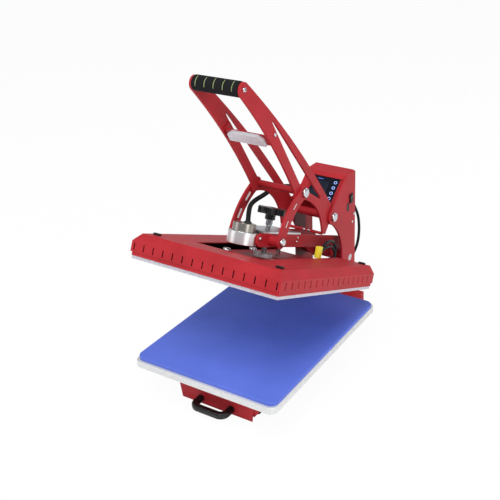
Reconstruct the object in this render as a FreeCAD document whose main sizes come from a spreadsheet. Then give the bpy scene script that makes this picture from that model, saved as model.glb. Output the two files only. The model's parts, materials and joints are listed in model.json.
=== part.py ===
import FreeCAD, Part
import math
import os

import Sketcher
from FreeCAD import Vector

# Flat heat press with a slide-out lower table, standing open. X is to the right, the table slides
# out towards -Y and Z is up. The origin is on the floor in the middle of the machine.

os.makedirs("parts", exist_ok=True)
doc = FreeCAD.newDocument("heat_press")

# Driving sizes in millimetres and degrees.
SIZES = {
    # Lower table and its drawer
    "table_width": 402, "table_depth": 514, "table_thick": 17.7, "table_corner": 8,
    "pad_side_margin": 2, "pad_end_margin": 7, "pad_thick": 9, "pad_corner": 20,
    "pad_offset": -76.9,
    "carriage_thick": 3, "carriage_width": 162, "carriage_depth": 438, "carriage_flange": 24,
    "panel_setback": 53, "panel_thick": 2, "panel_top_width": 234, "panel_bottom_width": 207,
    "panel_floor_gap": 3, "base_setback": 10,
    "pull_width": 106, "pull_reach": 43, "pull_thick": 16, "pull_low": 12, "pull_bend": 24,
    "pull_inner_bend": 9, "pull_round": 5,
    "rail_height": 30, "rail_depth": 450, "rail_wall": 2, "rail_width": 13, "slide_gap": 0.3,
    "slider_depth": 400,
    # Base
    "foot_height": 10, "foot_radius": 11, "foot_inset": 30, "base_width": 208, "base_depth": 576,
    "base_height": 50, "sheet": 3, "base_lip": 22,
    "bracket_reach": 43, "bracket_depth": 60, "bracket_height": 20, "bracket_sheet": 5,
    "bracket_setback": 32, "brace_height": 46, "rear_lip": 1,
    # Columns and control box
    "column_gap": 134, "column_sheet": 6, "column_top": 437.5, "column_corner": 5,
    "column_waist": 76, "column_foot": 88, "waist_rise": 14, "neck_bow": 150,
    "hub_radius": 22, "face_tilt": 39.8,
    "box_floor": 335, "box_chin": 30, "box_left": 52, "box_gap": 0.2, "box_recess": 4, "visor_height": 9,
    "panel_glass_width": 80, "panel_glass_height": 73, "glass_thick": 3, "glass_rise": 30,
    "glass_shift": 18, "glass_gap": 0.2, "key_radius": 4.2, "key_height": 4, "key_pitch": 16.6,
    "key_shift": 47.5, "key_gap": 0.25, "key_travel": 0.6,
    "switch_height": 363, "switch_back": 27.5, "switch_width": 18, "switch_length": 26,
    "rocker_width": 12, "rocker_length": 20, "rocker_gap": 0.3, "bezel_thick": 3,
    "rocker_pin_radius": 1, "rocker_lift": 0.8, "rocker_rise": 1.4,
    # Lid
    "lid_shaft_back": 351.3, "lid_shaft_z": 180, "lid_shaft_radius": 10, "lid_tube_wall": 5,
    "running_gap": 0.05, "fit_gap": 0.05, "lid_open_angle": 24.01, "closed_gap": 4.243,
    "beam_gap": 72, "beam_sheet": 6, "beam_height": 33, "beam_front": 137, "beam_length": 418,
    "beam_level": 95, "hanger_drop": 26, "hanger_wall": 6,
    "bridge_front": 168, "bridge_depth": 175, "bridge_thick": 5,
    "pin_back": 199.334, "pin_level": 96.126, "spacer_radius": 13.5,
    "magnet_back": 137, "magnet_level": 79, "magnet_radius": 35.5, "magnet_height": 30,
    "coil_radius": 27.5, "coil_height": 20, "magnet_arm_thick": 6, "magnet_arm_depth": 40,
    "screw_back": 246.5, "nut_radius": 15, "nut_height": 30,
    # Platen
    "heater_width": 400, "heater_depth": 484, "heater_overlap": 4.094, "heater_thick": 14,
    "cover_edge": 16, "cover_wall": 26, "cover_overhang": 4, "cover_rise": 19, "cover_inset": 14.6,
    "cover_rear_inset": 3, "cover_sheet": 2, "slit_width": 3.5, "slit_height": 17,
    "slit_level": 20.5, "slit_middle": 248, "front_slits": 15, "front_slit_pitch": 27.9,
    "side_slits": 16, "side_slit_pitch": 28.7, "well_width": 188, "well_front": 90,
    "notch_level": 38, "shield_height": 22, "shield_margin": 10,
    "mount_width": 156, "mount_front": 110, "mount_depth": 326, "mount_thick": 4,
    "mount_level": 42, "dome_radius": 11, "dome_height": 8, "dome_spread": 136,
    "dome_front_reach": 185, "dome_rear_reach": 305, "standoff_radius": 8,
    "flange_radius": 24, "flange_height": 9, "guide_radius": 5, "guide_behind": 74,
    "guide_length": 77, "guide_head": 5, "guide_bush_radius": 9, "guide_bush_length": 25,
    "cap_length": 18, "cap_width": 10, "cap_height": 5, "cap_front_reach": 34,
    "cap_rear_reach": 468, "cap_spread": 340,
    # Pressure screw and knob
    "screw_radius": 6, "screw_top": 154, "knob_radius": 37.5, "knob_thick": 16,
    "knob_lobe": 9, "knob_hub": 13, "knob_hub_height": 14, "knob_lobes": 6,
    "collar_radius": 8.5, "collar_height": 14,
    # Handle
    "handle_back": 254.5, "handle_z": 345.6, "handle_shaft_radius": 8, "handle_tube_radius": 11,
    "arm_gap": 120, "arm_sheet": 6, "arm_hub": 22, "knee_ahead": 145.6, "knee_above": 124.8,
    "knee_shaft_radius": 6, "knee_bar_radius": 9, "grip_ahead": 372.1, "grip_above": 440, "grip_end": 17.6,
    "arm_belly": 28, "arch_radius": 150, "arm_rear_bow": 2700, "arm_front_bow": 1500,
    "spur_ahead": 41, "spur_below": 34, "spur_bar_radius": 4,
    "window_tip_ahead": 267.5, "window_tip_above": 342.4, "window_front_ahead": 151.5,
    "window_front_above": 140.4, "window_rear_ahead": 44, "window_rear_above": 62,
    "window_round": 3,
    "grip_tube_radius": 12, "grip_radius": 19, "dome_head_radius": 13, "dome_head_height": 7,
    "handle_open_angle": 59.2, "armature_gap": 0.6, "armature_thick": 8, "armature_width": 100,
    "armature_depth": 32, "armature_ahead": 25, "ear_height": 24, "ear_sheet": 4,
    # Links
    "link_gap": 0.3, "link_sheet": 6, "link_width": 32, "link_bow": 14, "link_slot_width": 4,
    "link_slot_length": 23, "link_slot_first": 48, "link_slot_pitch": 50,
    # Magnet hose and heater cable
    "hose_radius": 6, "cable_radius": 4, "gland_radius": 9, "gland_length": 12,
}

sheet = doc.addObject("Spreadsheet::Sheet", "Sizes")
for row, (alias, number) in enumerate(SIZES.items(), start=1):
    sheet.set("A%d" % row, alias.replace("_", " "))
    sheet.set("B%d" % row, str(number))
    sheet.setAlias("B%d" % row, alias)
doc.recompute()


class Size:
    """A number together with the expression that gives it."""

    def __init__(self, value, text):
        self.value = value
        self.text = text

    def __add__(self, other):
        other = as_size(other)
        return Size(self.value + other.value, "(%s + %s)" % (self.text, other.text))

    def __sub__(self, other):
        other = as_size(other)
        return Size(self.value - other.value, "(%s - %s)" % (self.text, other.text))

    def __mul__(self, other):
        other = as_size(other)
        return Size(self.value * other.value, "(%s * %s)" % (self.text, other.text))

    def __truediv__(self, other):
        other = as_size(other)
        return Size(self.value / other.value, "(%s / %s)" % (self.text, other.text))

    def __radd__(self, other):
        return as_size(other) + self

    def __rsub__(self, other):
        return as_size(other) - self

    def __rmul__(self, other):
        return as_size(other) * self

    def __neg__(self):
        return Size(-self.value, "(-1 * %s)" % self.text)


def as_size(number):
    return number if isinstance(number, Size) else Size(float(number), "%.9g" % number)


def function(name, size, python_function):
    return Size(python_function(size.value), "%s(%s)" % (name, size.text))


def root(size):
    return function("sqrt", size, math.sqrt)


def cosine(size):
    return function("cos", size, lambda degrees: math.cos(math.radians(degrees)))


def sine(size):
    return function("sin", size, lambda degrees: math.sin(math.radians(degrees)))


worked = doc.addObject("App::VarSet", "Worked")


def keep(name, size):
    """Holds a worked-out size under its own name in the document."""
    worked.addProperty("App::PropertyFloat", name)
    worked.setExpression(name, size.text)
    return Size(size.value, "Worked." + name)


class Sizes:
    """Each driving size by its name."""


for alias in SIZES:
    setattr(Sizes, alias, Size(float(sheet.get(alias)), "Sizes." + alias))
S = Sizes


def bind(target, prop, size):
    target.setExpression(prop, as_size(size).text)


def place(target, corner):
    """Binds the position of an object, whose turn is already set."""
    for axis, size in zip("xyz", corner):
        bind(target, "Placement.Base." + axis, size)


spots = {}


def box(name, corner, size):
    solid = doc.addObject("Part::Box", name)
    spots[name] = (corner, "rotation(vector(0; 0; 1); 0)")
    for prop, length in zip(("Length", "Width", "Height"), size):
        bind(solid, prop, length)
    place(solid, corner)
    return solid


TURN = {
    "X": FreeCAD.Rotation(Vector(0, 1, 0), 90),
    "Y": FreeCAD.Rotation(Vector(1, 0, 0), -90),
    "Z": FreeCAD.Rotation(),
}


def rod(name, start, along, radius, length):
    """A cylinder from a point along one axis."""
    solid = doc.addObject("Part::Cylinder", name)
    spots[name] = (start, {"X": "rotation(vector(0; 1; 0); 90)",
                           "Y": "rotation(vector(1; 0; 0); -90)",
                           "Z": "rotation(vector(0; 0; 1); 0)"}[along])
    solid.Placement = FreeCAD.Placement(Vector(), TURN[along])
    bind(solid, "Radius", radius)
    bind(solid, "Height", length)
    place(solid, start)
    return solid


def dome(name, start, along, radius, height):
    """A bolt head: a short cylinder with its far edge rounded."""
    blank = rod(name + "_blank", start, along, radius, height)
    doc.recompute()
    solid = doc.addObject("Part::Fillet", name)
    solid.Base = blank
    blend = as_size(height).value * 0.7
    far = [number for number, edge in enumerate(blank.Shape.Edges, start=1)
           if abs(edge.CenterOfMass.distanceToPoint(centre_of(blank, 1.0))) < 0.01]
    solid.Edges = [(number, blend, blend) for number in far]
    return solid


def centre_of(cylinder, share):
    """The point on a cylinder's axis at a share of its height."""
    return cylinder.Placement.multVec(Vector(0, 0, cylinder.Height.Value * share))


def ring(name, start, along, outer, inner, length):
    """A tube from a point along one axis."""
    return cut(name, rod(name + "_outer", start, along, outer, length),
               rod(name + "_bore", start, along, inner, length))


def cut(name, base, *tools):
    solid = doc.addObject("Part::Cut", name)
    solid.Base = base
    solid.Tool = tools[0] if len(tools) == 1 else fuse(name + "_tools", *tools)
    return solid


def fuse(name, *parts):
    solid = doc.addObject("Part::MultiFuse", name)
    solid.Shapes = list(parts)
    return solid


def group(name, *parts):
    """Like pieces that lie apart, kept as one sub-part."""
    solid = doc.addObject("Part::Compound", name)
    solid.Links = list(parts)
    return solid


def body(name):
    return doc.addObject("PartDesign::Body", name)


def sketch_on(owner, role, offset, name):
    """A sketch on one of the body's own planes, moved along the plane's normal."""
    drawing = owner.newObject("Sketcher::SketchObject", name)
    plane = [item for item in owner.Origin.OriginFeatures if item.Role == role][0]
    drawing.AttachmentSupport = [(plane, "")]
    drawing.MapMode = "FlatFace"
    bind(drawing, "AttachmentOffset.Base.z", offset)
    return drawing


def flat(point):
    return Vector(as_size(point[0]).value, as_size(point[1]).value, 0)


def fix_point(drawing, geometry, end, point):
    for kind, size in zip(("DistanceX", "DistanceY"), point):
        size = as_size(size)
        number = drawing.addConstraint(
            Sketcher.Constraint(kind, -1, 1, geometry, end, size.value))
        drawing.setExpression("Constraints[%d]" % number, size.text)


def draw_outline(drawing, points):
    """A closed outline. A point is (x, y), or (x, y, bow) where an arc leads to the next point.

    The bow is the arc's radius: above zero it bulges outwards on a counter-clockwise outline.
    """
    first = drawing.GeometryCount
    count = len(points)
    for index, point in enumerate(points):
        start = flat(point)
        end = flat(points[(index + 1) % count])
        if len(point) == 2:
            drawing.addGeometry(Part.LineSegment(start, end))
            continue
        bow = as_size(point[2]).value
        chord = end - start
        half = chord.Length / 2
        side = Vector(chord.y, -chord.x, 0).normalize() * math.copysign(1, bow)
        rise = abs(bow) - math.sqrt(bow * bow - half * half)
        drawing.addGeometry(Part.Arc(start, start + chord / 2 + side * rise, end))
    for index, point in enumerate(points):
        ahead = first + (index + 1) % count
        here_end, next_start = arc_ends(drawing, first + index, flat(points[(index + 1) % count]),
                                        ahead)
        drawing.addConstraint(
            Sketcher.Constraint("Coincident", first + index, here_end, ahead, next_start))
    for index, point in enumerate(points):
        start_end = nearest_end(drawing, first + index, flat(point))
        fix_point(drawing, first + index, start_end, point[:2])
        if len(point) == 3:
            bow = as_size(point[2])
            radius = bow if bow.value > 0 else -bow
            number = drawing.addConstraint(
                Sketcher.Constraint("Radius", first + index, radius.value))
            drawing.setExpression("Constraints[%d]" % number, radius.text)


def nearest_end(drawing, geometry, point):
    """1 where the curve starts at the point, 2 where it ends there."""
    distance = [drawing.getPoint(geometry, end).distanceToPoint(point) for end in (1, 2)]
    return 1 if distance[0] < distance[1] else 2


def arc_ends(drawing, geometry, point, ahead):
    return nearest_end(drawing, geometry, point), nearest_end(drawing, ahead, point)


def draw_circle(drawing, centre, radius):
    radius = as_size(radius)
    circle = drawing.addGeometry(Part.Circle(flat(centre), Vector(0, 0, 1), radius.value))
    fix_point(drawing, circle, 3, centre)
    number = drawing.addConstraint(Sketcher.Constraint("Radius", circle, radius.value))
    drawing.setExpression("Constraints[%d]" % number, radius.text)


def pad(owner, drawing, length, name):
    feature = owner.newObject("PartDesign::Pad", name)
    feature.Profile = drawing
    bind(feature, "Length", length)
    doc.recompute()
    return feature


def pocket(owner, drawing, length, name, reverse=False):
    feature = owner.newObject("PartDesign::Pocket", name)
    feature.Profile = drawing
    feature.Reversed = reverse
    bind(feature, "Length", length)
    before = owner.Shape.Volume
    doc.recompute()
    if owner.Shape.Volume >= before:
        raise ValueError(name + " cuts nothing")
    return feature


def fillet(owner, chosen, radius, name):
    """Rounds the edges of the body for which chosen(edge) is true."""
    base = owner.Tip
    names = ["Edge%d" % number for number, edge in enumerate(base.Shape.Edges, start=1)
             if chosen(edge)]
    feature = owner.newObject("PartDesign::Fillet", name)
    feature.Base = (base, names)
    bind(feature, "Radius", radius)
    doc.recompute()
    return feature


def upright(edge):
    """True for a straight edge along Z."""
    box_of = edge.BoundBox
    return box_of.XLength < 0.01 and box_of.YLength < 0.01


def across(edge):
    """True for a straight edge along X."""
    box_of = edge.BoundBox
    return box_of.YLength < 0.01 and box_of.ZLength < 0.01


def at(edge, point):
    """True where an edge along X passes through a (y, z) point."""
    centre = edge.BoundBox.Center
    return math.hypot(centre.y - as_size(point[0]).value, centre.z - as_size(point[1]).value) < 0.05


def plate(name, inner, thick, side, outline, circles=(), inner_outlines=()):
    """A plate square to X, on the right (side 1) or left (side -1), from inner outwards."""
    owner = body(name)
    start = inner if side > 0 else -(inner + thick)
    drawing = sketch_on(owner, "YZ_Plane", start, name + "_outline")
    draw_outline(drawing, outline)
    for centre, radius in circles:
        draw_circle(drawing, centre, radius)
    for points in inner_outlines:
        draw_outline(drawing, points)
    pad(owner, drawing, thick, name + "_pad")
    return owner


nodes = []


def node(solid, name, group_turn=None):
    """Registers a finished sub-part under its name, in the pose of its group."""
    if group_turn and solid.Name in spots:
        corner, turn = spots[solid.Name]
        spot = tuple(as_size(size).text for size in corner)
        group_turn += " * placement(vector(%s; %s; %s); %s)" % (*spot, turn)
    if group_turn:
        solid.setExpression("Placement", group_turn)
    solid.Label = name
    nodes.append(solid)
    return solid


SIDES = (("left", -1), ("right", 1))
FULL_TURN = as_size(360)

# Places that several pieces share.
pad_y = S.pad_offset
pad_width = keep("pad_width", S.table_width - 2 * S.pad_side_margin)
pad_depth = keep("pad_depth", S.table_depth - 2 * S.pad_end_margin)
panel_y = keep("panel_y", pad_y - S.table_depth / 2 + S.panel_setback)
base_front = keep("base_front", panel_y + S.base_setback)
base_rear = keep("base_rear", base_front + S.base_depth)
deck_z = keep("deck_z", S.foot_height + S.base_height)
table_z = keep("table_z", deck_z + S.rail_height + S.slide_gap + S.carriage_thick)
pad_z = keep("pad_z", table_z + S.table_thick)
pad_top = keep("pad_top", pad_z + S.pad_thick)
platen_y = keep("platen_y", pad_y - pad_depth / 2 - S.heater_overlap)
platen_z = keep("platen_z", pad_top + S.closed_gap)
column_inner = S.column_gap / 2
column_outer = keep("column_outer", column_inner + S.column_sheet)
lid_pivot = (keep("lid_pivot_y", pad_y + S.lid_shaft_back), S.lid_shaft_z)
hub = (keep("hub_y", pad_y + S.handle_back), S.handle_z)
knee = (keep("knee_y", hub[0] - S.knee_ahead), keep("knee_z", hub[1] + S.knee_above))
grip = (keep("grip_y", hub[0] - S.grip_ahead), keep("grip_z", hub[1] + S.grip_above))
spur = (keep("spur_y", hub[0] - S.spur_ahead), keep("spur_z", hub[1] - S.spur_below))

LID_TURN = ("placement(vector(0; 0; 0); rotation(vector(1; 0; 0); -Sizes.lid_open_angle); "
            "vector(0; Worked.lid_pivot_y; Sizes.lid_shaft_z))")
HANDLE_TURN = ("placement(vector(0; 0; 0); rotation(vector(1; 0; 0); -Sizes.handle_open_angle); "
               "vector(0; Worked.hub_y; Sizes.handle_z))")


def lid_open(point):
    """Where a (y, z) point of the closed lid stands when the lid is open."""
    reach = point[0] - lid_pivot[0]
    rise = point[1] - lid_pivot[1]
    turn = S.lid_open_angle
    return (lid_pivot[0] + reach * cosine(turn) + rise * sine(turn),
            lid_pivot[1] - reach * sine(turn) + rise * cosine(turn))


def base_frame():
    """A sheet deck with side flanges that turn in at the bottom."""
    half = S.base_width / 2
    bottom = S.foot_height
    inner = half - S.sheet
    lip = half - S.base_lip
    owner = body("base_frame")
    drawing = sketch_on(owner, "XZ_Plane", -base_rear, "base_section")
    draw_outline(drawing, [
        (-half, bottom), (-lip, bottom), (-lip, bottom + S.sheet), (-inner, bottom + S.sheet),
        (-inner, deck_z - S.sheet), (inner, deck_z - S.sheet), (inner, bottom + S.sheet),
        (lip, bottom + S.sheet), (lip, bottom), (half, bottom), (half, deck_z), (-half, deck_z)])
    pad(owner, drawing, S.base_depth, "base_pad")
    node(owner, "base_frame")


def rubber_feet():
    feet = []
    for side_name, side in SIDES:
        for end_name, end_y in (("front", base_front + S.foot_inset),
                                ("rear", base_rear - S.foot_inset)):
            foot_x = side * (S.base_width / 2 - S.foot_radius - 1)
            foot = doc.addObject("Part::Cone", "foot_%s_%s" % (end_name, side_name))
            bind(foot, "Radius1", S.foot_radius - 2)
            bind(foot, "Radius2", S.foot_radius)
            bind(foot, "Height", S.foot_height)
            place(foot, (foot_x, end_y, 0))
            feet.append(foot)
    node(group("rubber_feet", *feet), "rubber_feet")


def drawer():
    """The carriage with its rails and sliders, the front panel, its pull, the table and pad."""
    flange_x = S.carriage_width / 2
    rail_inner = flange_x + S.slide_gap * 2
    rails = []
    sliders = []
    rail_y = base_front + 5
    slider_width = S.rail_width - S.rail_wall - S.slide_gap
    for side_name, side in SIDES:
        rail_x = rail_inner if side > 0 else -(rail_inner + S.rail_width)
        outer = box("rail_block_" + side_name, (rail_x, rail_y, deck_z),
                    (S.rail_width, S.rail_depth, S.rail_height))
        channel_x = rail_x if side > 0 else rail_x + S.rail_wall
        channel = box("rail_channel_" + side_name, (channel_x, rail_y, deck_z + S.rail_wall),
                      (S.rail_width - S.rail_wall, S.rail_depth, S.rail_height - 2 * S.rail_wall))
        rails.append(cut("rail_" + side_name, outer, channel))
        slider_x = flange_x if side > 0 else -(flange_x + slider_width)
        slider_z = deck_z + S.rail_wall + S.slide_gap
        sliders.append(box("slider_" + side_name, (slider_x, rail_y, slider_z),
                           (slider_width, S.slider_depth,
                            S.rail_height - 2 * S.rail_wall - 2 * S.slide_gap)))
    node(group("drawer_rails", *rails), "drawer_rails")
    node(group("drawer_sliders", *sliders), "drawer_sliders")

    carriage_y = panel_y + S.panel_thick
    carriage = body("drawer_carriage")
    drawing = sketch_on(carriage, "XZ_Plane", -(carriage_y + S.carriage_depth), "carriage_section")
    low = table_z - S.carriage_flange
    inner = flange_x - S.carriage_thick
    draw_outline(drawing, [
        (-flange_x, low), (-inner, low), (-inner, table_z - S.carriage_thick),
        (inner, table_z - S.carriage_thick), (inner, low), (flange_x, low),
        (flange_x, table_z), (-flange_x, table_z)])
    pad(carriage, drawing, S.carriage_depth, "carriage_pad")
    node(carriage, "drawer_carriage")

    panel = body("front_panel")
    drawing = sketch_on(panel, "XZ_Plane", -(panel_y + S.panel_thick), "panel_outline")
    draw_outline(drawing, [
        (-S.panel_bottom_width / 2, S.panel_floor_gap),
        (S.panel_bottom_width / 2, S.panel_floor_gap),
        (S.panel_top_width / 2, table_z), (-S.panel_top_width / 2, table_z)])
    pad(panel, drawing, S.panel_thick, "panel_pad")
    node(panel, "front_panel")

    drawer_pull()

    table = body("lower_table")
    drawing = sketch_on(table, "XY_Plane", table_z, "table_outline")
    rectangle(drawing, S.table_width, S.table_depth)
    pad(table, drawing, S.table_thick, "table_pad")
    fillet(table, upright, S.table_corner, "table_corners")
    node(table, "lower_table")

    cushion = body("silicone_pad")
    drawing = sketch_on(cushion, "XY_Plane", pad_z, "cushion_outline")
    rectangle(drawing, pad_width, pad_depth)
    pad(cushion, drawing, S.pad_thick, "cushion_pad")
    fillet(cushion, upright, S.pad_corner, "cushion_corners")
    node(cushion, "silicone_pad")


def rectangle(drawing, width, depth):
    """An outline of the given size about the middle of the table."""
    draw_outline(drawing, [
        (-width / 2, pad_y - depth / 2), (width / 2, pad_y - depth / 2),
        (width / 2, pad_y + depth / 2), (-width / 2, pad_y + depth / 2)])


def drawer_pull():
    """A moulded bow of square section with soft edges, its feet on the panel."""
    half = S.pull_width / 2
    inner = half - S.pull_thick
    front = panel_y - S.pull_reach
    owner = body("drawer_pull")
    drawing = sketch_on(owner, "XY_Plane", S.pull_low, "pull_outline")
    draw_outline(drawing, [
        (-half, front), (half, front), (half, panel_y), (inner, panel_y),
        (inner, front + S.pull_thick), (-inner, front + S.pull_thick), (-inner, panel_y),
        (-half, panel_y)])
    pad(owner, drawing, S.pull_thick, "pull_pad")
    fillet(owner, lambda edge: upright(edge) and beside(edge, half, front), S.pull_bend,
           "pull_outer_bends")
    fillet(owner, lambda edge: upright(edge) and beside(edge, inner, front + S.pull_thick),
           S.pull_inner_bend, "pull_inner_bends")
    fillet(owner, lambda edge: edge.BoundBox.ZLength < 0.01
           and edge.BoundBox.YMin < panel_y.value - 0.01, S.pull_round, "pull_soft_edges")
    node(owner, "drawer_pull")


def beside(edge, aside, y):
    """True where an upright edge stands at y, aside of the middle on either side."""
    centre = edge.BoundBox.Center
    return math.hypot(abs(centre.x) - aside.value, centre.y - y.value) < 0.05


def columns():
    """Two side plates that carry both shafts: the right one also carries the control box."""
    rear = keep("column_rear_y", base_rear - S.rear_lip)
    tilt = S.face_tilt
    tangent = (hub[0] - S.hub_radius * sine(tilt), hub[1] + S.hub_radius * cosine(tilt))
    top_front = (tangent[0] + (S.column_top - tangent[1]) * cosine(tilt) / sine(tilt),
                 S.column_top)
    under = (hub[0] - S.hub_radius * 0.25, hub[1] - S.hub_radius * 0.9682458)
    waist = (rear - S.column_waist, S.lid_shaft_z + S.waist_rise)
    crown = hub[1] + S.hub_radius
    foot = [(rear - S.column_foot, deck_z), (rear, deck_z)]
    neck = [(under[0], under[1], -S.neck_bow), waist]
    tall = [*foot, (rear, S.column_top), top_front, (*tangent, S.hub_radius), *neck]
    low = [*foot, (rear, crown), (hub[0], crown, S.hub_radius), *neck]
    for side_name, side in SIDES:
        column = plate("column_" + side_name, column_inner, S.column_sheet, side,
                       tall if side > 0 else low,
                       [(hub, S.handle_shaft_radius + S.running_gap),
                        (lid_pivot, S.lid_shaft_radius + S.fit_gap)])
        corners = (top_front, (rear, S.column_top), (rear, crown))
        fillet(column, lambda edge: across(edge) and any(at(edge, spot) for spot in corners),
               S.column_corner, "column_corners_" + side_name)
        node(column, "column_" + side_name)

    brackets = []
    bracket_y = rear - S.bracket_setback - S.bracket_depth
    for side_name, side in SIDES:
        foot = box("bracket_foot_" + side_name,
                   (column_outer if side > 0 else -(column_outer + S.bracket_reach), bracket_y,
                    deck_z),
                   (S.bracket_reach, S.bracket_depth, S.bracket_sheet))
        wall = box("bracket_wall_" + side_name,
                   (column_outer if side > 0 else -(column_outer + S.bracket_sheet), bracket_y,
                    deck_z),
                   (S.bracket_sheet, S.bracket_depth, S.bracket_height))
        brackets.append(fuse("bracket_" + side_name, foot, wall))
    node(group("foot_brackets", *brackets), "foot_brackets")

    node(box("column_brace", (-column_inner, rear - S.sheet, deck_z),
             (S.column_gap, S.sheet, S.brace_height)), "column_brace")
    node(rod("lid_shaft", (-column_outer, *lid_pivot), "X", S.lid_shaft_radius, 2 * column_outer),
         "lid_shaft")
    return rear, tangent, top_front


def face_turn(tangent):
    """The pose of pieces drawn on the slanted face: local Y runs up the face, Z out of it."""
    return ("placement(vector(0; %s; %s); rotation(vector(1; 0; 0); Sizes.face_tilt))"
            % (tangent[0].text, tangent[1].text))


def control_box(rear, tangent, top_front):
    """The housing on the right column, with its slanted face under a visor."""
    tilt = S.face_tilt
    recess = S.box_recess / sine(tilt)
    chin = hub[1] + S.box_chin
    step = hub[0] + S.arm_hub + 4
    low_front = (tangent[0] + recess + (chin - tangent[1]) * cosine(tilt) / sine(tilt), chin)
    turn = face_turn(tangent)
    owner = body("box_block")
    drawing = sketch_on(owner, "YZ_Plane", -S.box_left, "box_section")
    visor = (top_front[0] - S.visor_height * cosine(tilt) / sine(tilt),
             S.column_top - S.visor_height)
    draw_outline(drawing, [
        (step, S.box_floor), (rear, S.box_floor), (rear, S.column_top), top_front, visor,
        (visor[0] + recess, visor[1]), low_front, (step, chin)])
    pad(owner, drawing, S.box_left + column_inner - S.box_gap, "box_pad")
    doc.recompute()
    holes = face_parts(turn)
    housing = cut("control_housing", owner, *holes)
    node(housing, "control_box")

    glass = box("glass_blank", (S.glass_shift - S.panel_glass_width / 2, S.glass_rise,
                                -S.box_recess - S.glass_thick + 1),
                (S.panel_glass_width, S.panel_glass_height, S.glass_thick))
    keys = [rod("key_hole_%d" % number, key_place(number), "Z", S.key_radius + S.key_gap, 8)
            for number in range(4)]
    node(cut("display_panel", glass, *keys), "display_panel", turn)
    for number in range(4):
        node(rod("key_%d" % (number + 1), key_place(number), "Z", S.key_radius, S.key_height),
             "key_%d" % (number + 1), turn)


def key_place(number):
    """A key's start in the frame of the slanted face."""
    first = S.glass_rise + (S.panel_glass_height - 3 * S.key_pitch) / 2
    return (S.key_shift, first + number * S.key_pitch, -S.box_recess - S.glass_thick)


def face_parts(turn):
    """The recess of the glass and the wells in which the keys travel."""
    recess = box("glass_recess", (S.glass_shift - S.panel_glass_width / 2 - S.glass_gap,
                                  S.glass_rise - S.glass_gap,
                                  -S.box_recess - S.glass_thick + 1),
                 (S.panel_glass_width + 2 * S.glass_gap,
                  S.panel_glass_height + 2 * S.glass_gap, S.glass_thick + S.box_chin))
    wells = [rod("key_well_%d" % number, (key_place(number)[0], key_place(number)[1],
                                          key_place(number)[2] - 2 * S.key_travel), "Z",
                 S.key_radius + S.key_gap, S.box_chin)
             for number in range(4)]
    tools = fuse("face_cuts", recess, *wells)
    tools.setExpression("Placement", turn)
    return [tools]


def switch(rear):
    """The rocker switch on the right column: a rocker on a pin in its bezel."""
    middle = (rear - S.switch_back, S.switch_height)
    low_y = middle[0] - S.switch_width / 2
    low_z = middle[1] - S.switch_length / 2
    frame = box("bezel_block", (column_outer, low_y, low_z),
                (S.bezel_thick, S.switch_width, S.switch_length))
    window = box("bezel_window",
                 (column_outer, middle[0] - S.rocker_width / 2 - S.rocker_gap,
                  middle[1] - S.rocker_length / 2 - S.rocker_gap),
                 (S.bezel_thick, S.rocker_width + 2 * S.rocker_gap,
                  S.rocker_length + 2 * S.rocker_gap))
    pin_start = (column_outer + S.bezel_thick / 2, low_y, middle[1])
    eye = rod("bezel_eye", pin_start, "Y", S.rocker_pin_radius + S.running_gap, S.switch_width)
    node(cut("switch_bezel", frame, window, eye), "switch_bezel")

    base_x = column_outer + S.rocker_lift
    owner = body("rocker_body")
    drawing = sketch_on(owner, "XZ_Plane", -(middle[0] + S.rocker_width / 2), "rocker_section")
    side_x = base_x + S.rocker_rise
    tip_x = base_x + 3 * S.rocker_rise
    half = S.rocker_length / 2
    draw_outline(drawing, [
        (base_x, middle[1] - 2), (side_x, middle[1] - half), (tip_x, middle[1] - half),
        (side_x + S.rocker_rise, middle[1]), (tip_x, middle[1] + half),
        (side_x, middle[1] + half), (base_x, middle[1] + 2)])
    pad(owner, drawing, S.rocker_width, "rocker_pad")
    pin = rod("rocker_pin", pin_start, "Y", S.rocker_pin_radius, S.switch_width)
    node(fuse("rocker_on_pin", owner, pin), "rocker")


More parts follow.
